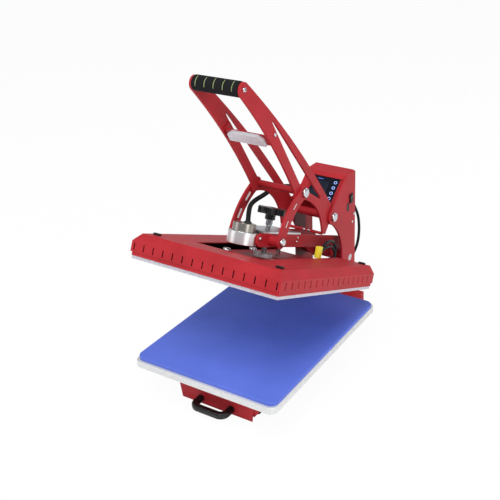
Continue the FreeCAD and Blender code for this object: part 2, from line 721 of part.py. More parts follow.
def lid():
    """The frame that swings about the lid shaft and carries platen, magnet and screw."""
    half = S.beam_gap / 2
    level = platen_z + S.beam_level
    radius = S.beam_height / 2
    front = platen_y + S.beam_front + radius
    back = front + S.beam_length
    hub_outer = S.lid_shaft_radius + S.lid_tube_wall
    eye = hub_outer + S.hanger_wall
    outline = [
        (front, level + radius, radius * 1.0001), (front, level - radius),
        (back - 60, level - radius), (back - 20, level - radius - S.hanger_drop),
        (lid_pivot[0], lid_pivot[1] - eye, eye * 1.0001),
        (lid_pivot[0], lid_pivot[1] + eye), (back - 4, level + radius)]
    for side_name, side in SIDES:
        beam = plate("beam_" + side_name, half, S.beam_sheet, side, outline,
                     [(lid_pivot, hub_outer + S.fit_gap)])
        node(beam, "beam_" + side_name, LID_TURN)
    tube_half = column_inner - S.link_gap
    node(ring("lid_tube_ring", (-tube_half, *lid_pivot), "X", hub_outer,
              S.lid_shaft_radius + S.running_gap, 2 * tube_half), "lid_tube", LID_TURN)

    bridge_z = level + radius
    plate_block = box("bridge_block", (-half - S.beam_sheet, platen_y + S.bridge_front, bridge_z),
                      (S.beam_gap + 2 * S.beam_sheet, S.bridge_depth, S.bridge_thick))
    screw_y = platen_y + S.screw_back
    guide_y = screw_y + S.guide_behind
    screw_hole = rod("bridge_screw_hole", (0, screw_y, bridge_z), "Z",
                     S.screw_radius + S.running_gap, S.bridge_thick)
    guide_hole = rod("bridge_guide_hole", (0, guide_y, bridge_z), "Z",
                     S.guide_radius + S.running_gap, S.bridge_thick)
    node(cut("beam_bridge", plate_block, screw_hole, guide_hole), "beam_bridge", LID_TURN)

    block = box("nut_block_body", (-half, screw_y - S.nut_radius, bridge_z - S.nut_height),
                (S.beam_gap, 2 * S.nut_radius, S.nut_height))
    thread = rod("nut_screw_hole", (0, screw_y, bridge_z - S.nut_height), "Z",
                 S.screw_radius + S.running_gap, S.nut_height)
    node(cut("nut_block", block, thread), "nut_block", LID_TURN)
    node(ring("guide_bush_ring", (0, guide_y, bridge_z - S.guide_bush_length), "Z",
              S.guide_bush_radius, S.guide_radius + S.running_gap, S.guide_bush_length),
         "guide_bush", LID_TURN)

    pin = (platen_y + S.pin_back, platen_z + S.pin_level)
    spacer = S.arm_gap / 2 + S.arm_sheet - half - S.beam_sheet
    for side_name, side in SIDES:
        start = half + S.beam_sheet if side > 0 else -(half + S.beam_sheet + spacer)
        node(rod("link_spacer_" + side_name, (start, *pin), "X", S.spacer_radius, spacer),
             "link_spacer_" + side_name, LID_TURN)

    magnet_y = platen_y + S.magnet_back
    magnet_z = platen_z + S.magnet_level
    lower = rod("magnet_lower", (0, magnet_y, magnet_z), "Z", S.magnet_radius, S.magnet_height)
    node(lower, "magnet_body", LID_TURN)
    upper = rod("magnet_coil", (0, magnet_y, magnet_z + S.magnet_height), "Z", S.coil_radius,
                S.coil_height)
    node(upper, "magnet_coil", LID_TURN)
    arm = box("magnet_arm", (-half, magnet_y + S.magnet_radius - 12,
                             magnet_z + S.magnet_arm_thick),
              (S.beam_gap, S.magnet_arm_depth, S.magnet_arm_thick))
    seat = rod("magnet_seat", (0, magnet_y, magnet_z), "Z", S.magnet_radius, S.magnet_height)
    node(cut("magnet_bracket", arm, seat), "magnet_bracket", LID_TURN)
    return pin


def platen():
    """The heater plate with its slotted cover and what holds it to the screw."""
    half = S.heater_width / 2
    node(box("heater_plate", (-half, platen_y, platen_z),
             (S.heater_width, S.heater_depth, S.heater_thick)), "heater_plate", LID_TURN)
    platen_cover(half)
    shield = box("shield_block", (-half + S.shield_margin, platen_y + S.shield_margin,
                                  platen_z + S.heater_thick),
                 (S.heater_width - 2 * S.shield_margin, S.heater_depth - 2 * S.shield_margin,
                  S.shield_height))
    sockets = [rod("shield_socket_%d" % number, (*spot, platen_z + S.heater_thick), "Z",
                   S.standoff_radius + S.fit_gap, S.shield_height)
               for number, spot in enumerate(stud_places())]
    node(cut("heat_shield", shield, *sockets), "heat_shield", LID_TURN)

    screw_y = platen_y + S.screw_back
    mount_z = platen_z + S.mount_level
    node(box("mounting_plate", (-S.mount_width / 2, platen_y + S.mount_front, mount_z),
             (S.mount_width, S.mount_depth, S.mount_thick)), "mounting_plate", LID_TURN)
    top = mount_z + S.mount_thick

    flange = ring("screw_flange", (0, screw_y, top), "Z", S.flange_radius,
                  S.screw_radius + S.running_gap, S.flange_height)
    node(flange, "screw_flange", LID_TURN)
    stud_z = platen_z + S.heater_thick
    studs = [rod("standoff_%d" % number, (*spot, stud_z), "Z", S.standoff_radius,
                 mount_z - stud_z)
             for number, spot in enumerate(stud_places())]
    node(group("standoffs_four", *studs), "standoffs", LID_TURN)
    domes = [dome("dome_nut_%d" % number, (*spot, top), "Z", S.dome_radius, S.dome_height)
             for number, spot in enumerate(stud_places())]
    node(group("dome_nuts", *domes), "dome_nuts", LID_TURN)

    guide_y = screw_y + S.guide_behind
    post = rod("guide_post", (0, guide_y, top), "Z", S.guide_radius, S.guide_length)
    head_z = top + S.guide_length
    collar = rod("guide_head", (0, guide_y, head_z), "Z", S.guide_bush_radius, S.guide_head)
    node(fuse("guide_post_and_head", post, collar), "guide_rod", LID_TURN)


def stud_places():
    """The four places of the standoffs and their dome nuts."""
    return [(side * S.dome_spread / 2, platen_y + reach)
            for side in (-1, 1) for reach in (S.dome_front_reach, S.dome_rear_reach)]


def platen_cover(half):
    """A sheet cover: slit walls, a chamfer and a flat top with a deep well open to the rear."""
    bottom = platen_z + S.cover_edge
    wall_top = bottom + S.cover_wall
    top = wall_top + S.cover_rise
    out = half + S.cover_overhang
    depth = S.heater_depth + 2 * S.cover_overhang
    middle = platen_y + S.heater_depth / 2

    def shell(name, inset, low):
        lower = (out - inset, depth / 2 - inset)
        upper = (lower[0] - S.cover_inset, lower[1] - S.cover_inset, lower[1] - S.cover_rear_inset)
        prism = box(name + "_walls", (-lower[0], middle - lower[1], low),
                    (2 * lower[0], 2 * lower[1], wall_top - inset * 0.4 - low))
        hip = doc.addObject("Part::Wedge", name + "_hip")
        wedge_top = top - inset - (wall_top - inset * 0.4)
        for prop, size in {
                "Xmin": -lower[0], "Xmax": lower[0], "Zmin": -lower[1], "Zmax": lower[1],
                "X2min": -upper[0], "X2max": upper[0], "Z2min": -upper[2], "Z2max": upper[1],
                "Ymin": 0, "Ymax": wedge_top}.items():
            bind(hip, prop, size)
        hip.Placement = FreeCAD.Placement(Vector(), FreeCAD.Rotation(Vector(1, 0, 0), 90))
        place(hip, (0, middle, wall_top - inset * 0.4))
        return fuse(name, prism, hip)

    outer = shell("cover_outer", as_size(0), bottom)
    inner = shell("cover_inner", S.cover_sheet, bottom - 1)
    lip = box("cover_lip", (-out, middle - depth / 2, platen_z + S.heater_thick - 6),
              (2 * out, depth, S.cover_edge - S.heater_thick + 6))
    lip_hole = box("cover_lip_hole", (-half - 0.1, platen_y - 0.1, platen_z + S.heater_thick - 7),
                   (S.heater_width + 0.2, S.heater_depth + 0.2,
                    S.cover_edge - S.heater_thick + 8))
    well = box("cover_well", (-S.well_width / 2, platen_y + S.well_front,
                              platen_z + S.notch_level),
               (S.well_width, S.heater_depth - S.well_front + 20, 60))
    slit_z = platen_z + S.slit_level
    slits = []
    for number in range(int(S.front_slits.value)):
        across_x = (number - (S.front_slits - 1) / 2) * S.front_slit_pitch
        slits.append(box("front_slit_%d" % number,
                         (across_x - S.slit_width / 2, platen_y - 10, slit_z),
                         (S.slit_width, 20, S.slit_height)))
    side_slits = int(S.side_slits.value)
    for number in range(side_slits):
        slit_y = (platen_y + S.slit_middle - S.slit_width / 2
                  + (number - side_slits / 2) * S.side_slit_pitch)
        slits.append(box("side_slit_%d" % number, (-out - 5, slit_y, slit_z),
                         (2 * out + 10, S.slit_width, S.slit_height)))
    walls = cut("cover_shell", outer, inner)
    edge = cut("cover_edge_strip", lip, lip_hole)
    skin = fuse("cover_skin", walls, edge)
    node(cut("platen_cover", skin, well, *slits), "platen_cover", LID_TURN)

    caps = []
    for side_name, side in SIDES:
        for end, reach in (("front", S.cap_front_reach), ("rear", S.cap_rear_reach)):
            caps.append(box("cap_%s_%s" % (end, side_name),
                            (side * S.cap_spread / 2 - S.cap_length / 2, platen_y + reach, top),
                            (S.cap_length, S.cap_width, S.cap_height)))
    node(group("corner_caps", *caps), "corner_caps", LID_TURN)


def pressure_screw():
    """The screw with its lobed knob."""
    screw_y = platen_y + S.screw_back
    low = platen_z + S.mount_level + S.mount_thick
    shaft = rod("screw_shaft", (0, screw_y, low), "Z", S.screw_radius,
                S.screw_top - S.mount_level - S.mount_thick)
    knob_z = platen_z + S.screw_top
    collar_z = knob_z - S.knob_hub_height - S.collar_height
    collar = rod("screw_collar", (0, screw_y, collar_z), "Z", S.collar_radius, S.collar_height)
    node(fuse("screw_and_collar", shaft, collar), "pressure_screw", LID_TURN)
    under = rod("knob_under", (0, screw_y, knob_z - S.knob_hub_height), "Z", S.knob_hub,
                S.knob_hub_height)
    bore = rod("knob_bore", (0, screw_y, knob_z - S.knob_hub_height), "Z",
               S.screw_radius + S.fit_gap, S.knob_hub_height)
    lobes = []
    for number in range(int(S.knob_lobes.value)):
        turn = FULL_TURN * number / S.knob_lobes
        reach = S.knob_radius - S.knob_lobe
        lobes.append(rod("knob_lobe_%d" % number,
                         (reach * cosine(turn), screw_y + reach * sine(turn), knob_z), "Z",
                         S.knob_lobe, S.knob_thick))
    neck = rod("knob_core", (0, screw_y, knob_z), "Z", S.knob_radius - S.knob_lobe, S.knob_thick)
    node(cut("lobed_knob", fuse("knob_body", neck, under, *lobes), bore), "knob", LID_TURN)


def handle():
    """Two curved arms on the handle shaft, joined by the grip, a bridge and the armature."""
    inner = S.arm_gap / 2
    rear_start = (hub[0] + 10, hub[1] + 21)
    rear_end = (grip[0] + 10, grip[1] + 14)
    front_top = (grip[0] - 11, grip[1] - 13)
    nose = (knee[0] - S.arm_belly - 8, knee[1] - 12)
    outline = [
        (hub[0] - 14, hub[1] - 17, S.arm_hub * 1.05), (hub[0] + 21, hub[1] + 6.5, S.arm_hub * 1.05),
        (rear_start[0], rear_start[1], S.arm_rear_bow),
        (rear_end[0], rear_end[1], S.grip_end), (front_top[0], front_top[1], -S.arm_front_bow),
        (nose[0], nose[1] + 25), (nose[0] + 3, nose[1], -S.arch_radius),
        (spur[0] - 6, spur[1] + 2), (spur[0] + 8, spur[1] - 4)]
    window = [(hub[0] - S.window_tip_ahead, hub[1] + S.window_tip_above),
              (hub[0] - S.window_front_ahead, hub[1] + S.window_front_above),
              (hub[0] - S.window_rear_ahead, hub[1] + S.window_rear_above)]
    for side_name, side in SIDES:
        arm = plate("arm_" + side_name, inner, S.arm_sheet, side, outline,
                    [(hub, S.handle_shaft_radius + S.fit_gap),
                     (knee, S.knee_shaft_radius + S.fit_gap)], [window])
        fillet(arm, lambda edge: across(edge) and any(
            at(edge, point) for point in (nose, (nose[0], nose[1] + 25), (nose[0] + 3, nose[1]))),
            7, "arm_nose_" + side_name)
        fillet(arm, lambda edge: across(edge) and any(at(edge, point) for point in window),
               S.window_round, "arm_window_" + side_name)
        fillet(arm, lambda edge: across(edge) and any(
            at(edge, point) for point in ((spur[0] - 6, spur[1] + 2), (spur[0] + 8, spur[1] - 4))),
            5, "arm_spur_" + side_name)
        node(arm, "arm_" + side_name)

    node(rod("arm_bridge", (-inner, *knee), "X", S.knee_bar_radius, S.arm_gap), "arm_bridge")

    head_start = column_outer + S.link_gap
    shaft_parts = [rod("handle_shaft_rod", (-head_start, *hub), "X", S.handle_shaft_radius,
                       2 * head_start)]
    for side_name, side in SIDES:
        shaft_parts.append(head(("handle_head_" + side_name), side, head_start, hub,
                                S.dome_head_radius))
    node(fuse("handle_shaft", *shaft_parts), "handle_shaft")
    node(ring("handle_tube_ring", (-inner, *hub), "X", S.handle_tube_radius,
              S.handle_shaft_radius + S.fit_gap, S.arm_gap), "handle_tube")

    knee_end = inner + S.arm_sheet + S.link_gap + S.link_sheet + S.link_gap
    bolts = []
    for side_name, side in SIDES:
        start = inner if side > 0 else -knee_end
        pin = rod("knee_pin_" + side_name, (start, *knee), "X", S.knee_shaft_radius,
                  knee_end - inner)
        cap = head("knee_head_" + side_name, side, knee_end, knee, S.dome_head_radius)
        bolts.append(fuse("knee_bolt_" + side_name, pin, cap))
    node(group("knee_bolts", *bolts), "knee_bolts")

    node(rod("grip_tube", (-inner, *grip), "X", S.grip_tube_radius, S.arm_gap), "grip_tube")
    node(ring("grip_sleeve", (-inner + S.link_gap, *grip), "X", S.grip_radius,
              S.grip_tube_radius + S.fit_gap, S.arm_gap - 2 * S.link_gap), "foam_grip")
    node(rod("spur_bar", (-inner, *spur), "X", S.spur_bar_radius, S.arm_gap), "spur_bar")
    armature(inner)


def head(name, side, start, centre, radius):
    """A domed bolt head whose flat side lies at start, on the outside of the press."""
    blank = rod(name + "_blank", (start if side > 0 else -(start + S.dome_head_height), *centre),
                "X", radius, S.dome_head_height)
    doc.recompute()
    rounded = doc.addObject("Part::Fillet", name)
    rounded.Base = blank
    far_x = side * (start.value + S.dome_head_height.value)
    blend = S.dome_head_height.value * 0.7
    rounded.Edges = [(number, blend, blend)
                     for number, edge in enumerate(blank.Shape.Edges, start=1)
                     if edge.BoundBox.XLength < 0.01 and abs(edge.BoundBox.XMin - far_x) < 0.01]
    return rounded


def armature(inner):
    """The plate that the magnet holds, hung between two brackets, drawn with the press shut."""
    low = platen_z + S.magnet_level + S.magnet_height + S.coil_height + S.armature_gap
    middle = platen_y + S.magnet_back - S.armature_ahead
    owner = body("armature_plate")
    drawing = sketch_on(owner, "XY_Plane", low, "armature_outline")
    half = S.armature_width / 2
    front = middle - S.armature_depth / 2
    rear = middle + S.armature_depth / 2
    draw_outline(drawing, [
        (-half, rear), (-half, front + 10), (-half + 14, front), (half - 14, front),
        (half, front + 10), (half, rear)])
    pad(owner, drawing, S.armature_thick, "armature_pad")
    node(owner, "armature_plate", HANDLE_TURN)

    top = low + S.armature_thick
    section = body("armature_bracket")
    drawing = sketch_on(section, "XZ_Plane", -(rear + 2), "ear_section")
    draw_outline(drawing, [
        (-inner, top), (inner, top), (inner, top + S.ear_height),
        (inner - S.ear_sheet, top + S.ear_height), (inner - S.ear_sheet, top + S.ear_sheet),
        (-inner + S.ear_sheet, top + S.ear_sheet), (-inner + S.ear_sheet, top + S.ear_height),
        (-inner, top + S.ear_height)])
    pad(section, drawing, S.armature_depth, "ear_pad")
    node(section, "armature_bracket", HANDLE_TURN)


def links(pin):
    """The curved slotted links between the knees and the pins of the lid."""
    foot_y, foot_z = lid_open(pin)
    foot = (keep("link_foot_y", foot_y), keep("link_foot_z", foot_z))
    run = (foot[0] - knee[0], foot[1] - knee[1])
    span = keep("link_span", root(run[0] * run[0] + run[1] * run[1]))
    ahead = (run[0] / span, run[1] / span)
    out = (ahead[1], -ahead[0])
    bow = S.link_bow
    radius = keep("link_radius", span * span / (8 * bow) + bow / 2)
    middle = ((knee[0] + foot[0]) / 2, (knee[1] + foot[1]) / 2)
    centre = (keep("link_centre_y", middle[0] - out[0] * (radius - bow)),
              keep("link_centre_z", middle[1] - out[1] * (radius - bow)))
    half = S.link_width / 2

    def off(point, distance):
        """A point moved away from the bend's centre."""
        return (point[0] + (point[0] - centre[0]) / radius * distance,
                point[1] + (point[1] - centre[1]) / radius * distance)

    outline = [(*off(knee, half), radius + half), (*off(foot, half), half * 1.0001),
               (*off(foot, -half), -(radius - half)), (*off(knee, -half), half * 1.0001)]
    inner = S.arm_gap / 2 + S.arm_sheet + S.link_gap
    bolts = []
    for side_name, side in SIDES:
        link = plate("link_" + side_name, inner, S.link_sheet, side, outline,
                     [(knee, S.knee_shaft_radius + S.running_gap)])
        slots = sketch_on(link, "YZ_Plane", inner if side > 0 else -(inner + S.link_sheet),
                          "link_slots_" + side_name)
        for number in range(2):
            from_knee = S.link_slot_first + number * S.link_slot_pitch - S.link_slot_length / 2
            slot_outline(slots, knee, ahead, out, from_knee, span, bow)
        pocket(link, slots, S.link_sheet, "link_slot_cut_" + side_name, reverse=True)
        node(link, "link_" + side_name)
        bolts.append(head("link_bolt_" + side_name, side, inner + S.link_sheet, foot,
                          S.dome_radius))
    node(group("link_bolts", *bolts), "link_bolts")


def slot_outline(drawing, knee, ahead, out, start, span, bow):
    """A slot along the link, straight, at the height of the bend there."""
    middle = start + S.link_slot_length / 2
    share = middle / span
    rise = 4 * bow * share * (1 - share)
    slope = 4 * bow / span * (1 - 2 * share)
    corners = []
    for along, aside in ((0, -1), (1, -1), (1, 1), (0, 1)):
        reach = start + S.link_slot_length * along
        lift = rise + slope * (reach - middle) + aside * S.link_slot_width / 2
        corners.append((knee[0] + ahead[0] * reach + out[0] * lift,
                        knee[1] + ahead[1] * reach + out[1] * lift))
    draw_outline(drawing, corners)


def cable(name, points, radius, *fittings):
    """A round cable or hose: straight runs joined by arcs as large as the runs allow."""
    corners = [Vector(*(as_size(value).value for value in point)) for point in points]
    edges = []
    bends = []
    start = corners[0]
    for before, corner, after in zip(corners, corners[1:], corners[2:]):
        back = before - corner
        onward = after - corner
        reach = 0.45 * min(back.Length, onward.Length)
        half_turn = (math.pi - back.getAngle(onward)) / 2
        bend = reach / math.tan(half_turn)
        bends.append(bend)
        first = corner + back.normalize() * reach
        last = corner + onward.normalize() * reach
        inwards = (first + last) / 2 - corner
        middle = corner + inwards.normalize() * (bend / math.cos(half_turn) - bend)
        edges.append(Part.LineSegment(start, first).toShape())
        edges.append(Part.Arc(first, middle, last).toShape())
        start = last
    edges.append(Part.LineSegment(start, corners[-1]).toShape())
    route = doc.addObject("Part::Feature", name + "_route")
    route.Shape = Part.Wire(edges)
    section = doc.addObject("Part::Circle", name + "_section")
    bind(section, "Radius", radius)
    section.Placement = FreeCAD.Placement(
        corners[0], FreeCAD.Rotation(Vector(0, 0, 1), corners[1] - corners[0]))
    sweep = doc.addObject("Part::Sweep", name + "_sweep")
    sweep.Sections = [section]
    sweep.Spine = (route, ["Edge%d" % number for number in range(1, len(edges) + 1)])
    sweep.Solid = True
    doc.recompute()
    length = route.Shape.Length
    print(name, "length %.0f mm," % length, "least bend %.0f mm," % min(bends),
          "volume share %.4f" % (sweep.Shape.Volume
                                 / (length * math.pi * as_size(radius).value ** 2)))
    node(fuse(name + "_assembly", sweep, *fittings), name)


def magnet_hose():
    """The ribbed hose from the magnet, outside the left arm, to the control box's left wall."""
    box_gland = rod("hose_gland", (-S.box_left - S.gland_length, pad_y + 344, pad_height(257)),
                    "X", S.gland_radius, S.gland_length)
    magnet = lid_open((platen_y + S.magnet_back + 12,
                       platen_z + S.magnet_level + S.magnet_height + S.coil_height + 2.4))
    cable("magnet_hose", [
        (0, *magnet), (-10, pad_y - 2, pad_height(352)), (-60, pad_y + 136, pad_height(303)),
        (-94, pad_y + 196, pad_height(260)), (-92, pad_y + 284, pad_height(262)),
        (-59, pad_y + 339, pad_height(257))], S.hose_radius, box_gland)


def heater_cable():
    """The mains cable of the heater: a loop behind the right column, then under the lid shaft."""
    rear = pad_y + 381
    gland = rod("cable_gland", (44, rear, pad_height(236)), "Y", S.gland_radius, S.gland_length)
    end = lid_open((platen_y + S.heater_depth + S.cover_overhang + S.fit_gap, platen_z + 27))
    cable("heater_cable", [
        (46, rear + 5, pad_height(236)), (70, rear + 17, pad_height(195)),
        (74, rear + 28, pad_height(130)), (72, rear + 17, pad_height(72)),
        (54, rear - 1, pad_height(30)), (54, rear - 29, pad_height(-2)),
        (54, rear - 85, pad_height(-2)), (54, rear - 119, pad_height(68.3)), (54, *end)],
        S.cable_radius, gland)


def pad_height(rise):
    """A height above the top of the silicone pad."""
    return pad_top + rise


base_frame()
rubber_feet()
drawer()
column_rear, face_foot, face_top = columns()
control_box(column_rear, face_foot, face_top)
switch(column_rear)
link_pin = lid()
platen()
pressure_screw()
handle()
links(link_pin)
magnet_hose()
heater_cable()

doc.recompute()
faulty = [item.Name for item in doc.Objects if {"Invalid", "Error"} & set(item.State)]
for item in nodes:
    if item.Shape.isNull() or not item.Shape.isValid():
        faulty.append(item.Label)
if faulty:
    raise ValueError("failed: " + ", ".join(faulty))
for item in nodes:
    item.Shape.exportStep("parts/%s.step" % item.Label)
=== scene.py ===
import json
import math

import bpy
from mathutils import Matrix, Vector


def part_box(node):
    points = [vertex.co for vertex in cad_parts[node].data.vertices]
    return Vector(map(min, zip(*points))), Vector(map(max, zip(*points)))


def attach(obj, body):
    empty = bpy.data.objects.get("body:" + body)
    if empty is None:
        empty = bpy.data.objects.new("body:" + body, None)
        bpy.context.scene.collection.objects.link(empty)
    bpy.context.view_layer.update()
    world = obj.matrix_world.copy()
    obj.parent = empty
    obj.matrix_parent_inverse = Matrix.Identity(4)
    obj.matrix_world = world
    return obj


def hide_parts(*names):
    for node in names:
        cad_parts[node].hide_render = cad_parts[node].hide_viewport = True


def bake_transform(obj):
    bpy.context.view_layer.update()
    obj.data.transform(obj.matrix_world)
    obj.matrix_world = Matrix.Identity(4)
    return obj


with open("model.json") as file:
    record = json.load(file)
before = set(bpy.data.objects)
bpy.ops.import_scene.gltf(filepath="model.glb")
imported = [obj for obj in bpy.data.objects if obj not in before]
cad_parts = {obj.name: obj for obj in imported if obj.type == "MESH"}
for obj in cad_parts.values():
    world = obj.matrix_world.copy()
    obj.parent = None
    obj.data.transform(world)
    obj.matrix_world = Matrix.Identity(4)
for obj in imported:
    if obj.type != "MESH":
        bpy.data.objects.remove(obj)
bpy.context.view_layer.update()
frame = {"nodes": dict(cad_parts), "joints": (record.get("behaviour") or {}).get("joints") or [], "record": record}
nodes = frame["nodes"]


# Studio
# A plain pale floor and soft lamps, with the camera at the photograph's angle. The camera stands
# in front of the machine on its right and looks down at it.
def linear(code):
    """An sRGB hex colour as Blender's linear RGBA."""
    parts = [int(code[i:i + 2], 16) / 255 for i in (1, 3, 5)]
    return [p / 12.92 if p <= 0.04045 else ((p + 0.055) / 1.055) ** 2.4 for p in parts] + [1]


def add(material, kind, settings=None, **links):
    """A shader node with its settings, and the sockets that feed it."""
    tree = material.node_tree
    shader_node = tree.nodes.new("ShaderNode" + kind)
    for key, value in (settings or {}).items():
        if isinstance(key, int) or key in shader_node.inputs:
            shader_node.inputs[key].default_value = value
        else:
            setattr(shader_node, key, value)
    for key, source in links.items():
        socket = int(key[1:]) if key[1:].isdigit() else key.replace("_", " ")
        tree.links.new(source, shader_node.inputs[socket])
    return shader_node


def new_material(name):
    """An empty node material."""
    material = bpy.data.materials.new(name)
    material.use_nodes = True
    material.node_tree.nodes.clear()
    return material


def finish_material(material, shader):
    """Joins the shader to the material's surface."""
    output = add(material, "OutputMaterial")
    material.node_tree.links.new(shader.outputs[0], output.inputs["Surface"])
    return material


def seen_directly(owner):
    """1 where the camera looks at the surface, straight or through glass, and 0 for its light."""
    path = add(owner, "LightPath")
    return add(owner, "Math", {"operation": "MAXIMUM"}, _0=path.outputs["Is Camera Ray"],
               _1=path.outputs["Is Transmission Ray"]).outputs[0]


FLOOR_WHITE = "#ffffff"
FLOOR_SHARE = 0.95
FLOOR_SIZE = 30
floor_paper = new_material("matt_paper_floor")
paper = add(floor_paper, "BsdfDiffuse", {"Color": linear(FLOOR_WHITE)})
glow = add(floor_paper, "Emission", {"Color": linear(FLOOR_WHITE), "Strength": 1.0})
share = add(floor_paper, "Math", {"operation": "MULTIPLY", 1: FLOOR_SHARE},
            _0=seen_directly(floor_paper))
finish_material(floor_paper, add(floor_paper, "MixShader", None, Fac=share.outputs[0],
                                 _1=paper.outputs[0], _2=glow.outputs[0]))
bpy.ops.object.select_all(action="DESELECT")
bpy.ops.mesh.primitive_plane_add(size=FLOOR_SIZE, location=(0, 0, 0))
floor = bpy.context.object
floor.name = "studio_floor"
floor.data.materials.append(floor_paper)

WORLD_LIGHT = 0.45
world = bpy.data.worlds.new("studio_air")
bpy.context.scene.world = world
world.use_nodes = True
world.node_tree.nodes.clear()
dim_air = add(world, "Background", {"Color": linear("#f4f6fa"), "Strength": WORLD_LIGHT})
white_air = add(world, "Background", {"Color": linear("#ffffff"), "Strength": 1.0})
air = add(world, "MixShader", None, Fac=seen_directly(world), _1=dim_air.outputs[0],
          _2=white_air.outputs[0])
world_out = add(world, "OutputWorld")
world.node_tree.links.new(air.outputs[0], world_out.inputs["Surface"])

for lamp_name, watts, size, spot, aim in (
        ("key_softbox", 60, 1.9, (0.35, -1.35, 3.05), (0, 0, 0.3)),
        ("side_softbox", 26, 1.4, (2.7, -1.0, 1.3), (0, 0, 0.35)),
        ("fill_softbox", 16, 2.0, (-2.2, -1.6, 1.6), (0, 0, 0.35)),
        ("rear_softbox", 14, 1.6, (0.6, 2.4, 2.2), (0, 0, 0.4))):
    lamp = bpy.data.lights.new(lamp_name, "AREA")
    lamp.energy = watts
    lamp.size = size
    holder = bpy.data.objects.new(lamp_name, lamp)
    holder.location = spot
    holder.rotation_euler = (Vector(aim) - Vector(spot)).to_track_quat("-Z", "Y").to_euler()
    bpy.context.scene.collection.objects.link(holder)

CAMERA_PLACE = (0.994, -1.5009, 1.232)
CAMERA_AZIMUTH = 28.48
CAMERA_ELEVATION = 24.33
FOCAL_SHARE = 1.5772
SENSOR_WIDTH = 36
PICTURE_SHIFT = (-0.174, -0.08)
camera = bpy.data.objects.new("camera", bpy.data.cameras.new("camera"))
camera.data.sensor_width = SENSOR_WIDTH
camera.data.lens = FOCAL_SHARE * SENSOR_WIDTH
camera.data.shift_x, camera.data.shift_y = PICTURE_SHIFT
camera.location = CAMERA_PLACE
camera.rotation_euler = (math.radians(90 - CAMERA_ELEVATION), 0, math.radians(CAMERA_AZIMUTH))
bpy.context.scene.collection.objects.link(camera)
bpy.context.scene.camera = camera
bpy.context.scene.view_settings.view_transform = "Standard"


# Base and its feet
# The base is folded from 3 mm steel sheet and powder coated in a satin red, like all the red
# pieces. It stands on four rubber feet.
def millimetres(size):
    """A texture scale at which one pattern cell is this many millimetres."""
    return 1000 / size


def powder_coat(name, code, deep, rough=0.46):
    """Powder coat on steel: an even satin colour with a fine orange peel and soft clouding."""
    material = new_material(name)
    place = add(material, "TexCoord").outputs["Object"]
    clouds = add(material, "TexNoise", {"Scale": millimetres(55), "Detail": 4}, Vector=place)
    tone = add(material, "ValToRGB", None, Fac=clouds.outputs["Fac"])
    tone.color_ramp.elements[0].position = 0.34
    tone.color_ramp.elements[0].color = linear(deep)
    tone.color_ramp.elements[1].position = 0.62
    tone.color_ramp.elements[1].color = linear(code)
    # the real peel is about 0.5 mm, drawn at 2 mm so that it shows
    peel = add(material, "TexNoise", {"Scale": millimetres(2), "Detail": 2}, Vector=place)
    bump = add(material, "Bump", {"Strength": 0.12, "Distance": 0.0004},
               Height=peel.outputs["Fac"])
    gloss = add(material, "MapRange", {"To Min": rough - 0.05, "To Max": rough + 0.07},
                Value=clouds.outputs["Fac"])
    shader = add(material, "BsdfPrincipled", {"Specular IOR Level": 0.18},
                 Base_Color=tone.outputs["Color"], Roughness=gloss.outputs["Result"],
                 Normal=bump.outputs["Normal"])
    return finish_material(material, shader)


def dress(material, slot, *names):
    """Gives CAD nodes their finish; the record's slot is not used."""
    for name in names:
        piece = nodes[name]
        piece.data.materials.clear()
        piece.data.materials.append(material)


carrier = {name: body for body, names in frame["record"]["behaviour"]["bodies"].items()
           for name in names}


def fit(piece, name, material, slot, body, *replaced):
    """Names a finished piece, gives it its finish, and lets it ride on its body."""
    piece.name = name
    piece.data.materials.clear()
    piece.data.materials.append(material)
    if replaced:
        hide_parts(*replaced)
    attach(piece, body)
    return piece


def eased(material, slot, width, *names):
    """Stand-ins for CAD pieces, whose cut or folded edges are broken by a small round."""
    for name in names:
        bpy.ops.object.select_all(action="DESELECT")
        piece = bpy.data.objects.new(name, nodes[name].data.copy())
        bpy.context.scene.collection.objects.link(piece)
        bpy.context.view_layer.objects.active = piece
        piece.select_set(True)
        bpy.ops.object.mode_set(mode="EDIT")
        bpy.ops.mesh.select_all(action="SELECT")
        bpy.ops.mesh.remove_doubles(threshold=0.00001)
        bpy.ops.mesh.dissolve_limited(angle_limit=math.radians(0.6))
        bpy.ops.object.mode_set(mode="OBJECT")
        rounding = piece.modifiers.new("rounding", "BEVEL")
        rounding.width = width
        rounding.segments = 2
        rounding.limit_method = "ANGLE"
        rounding.angle_limit = math.radians(35)
        bpy.ops.object.modifier_apply(modifier="rounding")
        bpy.ops.object.shade_smooth_by_angle(angle=math.radians(50))
        shading = piece.modifiers.new("shading", "WEIGHTED_NORMAL")
        shading.keep_sharp = True
        bpy.ops.object.modifier_apply(modifier="shading")
        fit(piece, name + "_finished", material, slot, carrier[name], name)


red_coat = powder_coat("powder_coat_red", "#b2272f", "#a8242b")
eased(red_coat, "red_paint", 0.0008, "base_frame")


def soft_rubber(name, code, grain, rough):
    """Moulded rubber: matt, with a fine mould grain."""
    material = new_material(name)
    place = add(material, "TexCoord").outputs["Object"]
    speck = add(material, "TexNoise", {"Scale": millimetres(grain), "Detail": 3}, Vector=place)
    tone = add(material, "MixRGB", {"Color1": linear(code), "Color2": linear("#1f1f20")},
               Fac=speck.outputs["Fac"])
    bump = add(material, "Bump", {"Strength": 0.25, "Distance": 0.0003},
               Height=speck.outputs["Fac"])
    return finish_material(material, add(
        material, "BsdfPrincipled", {"Roughness": rough, "Specular IOR Level": 0.15},
        Base_Color=tone.outputs["Color"], Normal=bump.outputs["Normal"]))


dress(soft_rubber("moulded_rubber", "#121212", 1.5, 0.8), "rubber", "rubber_feet")


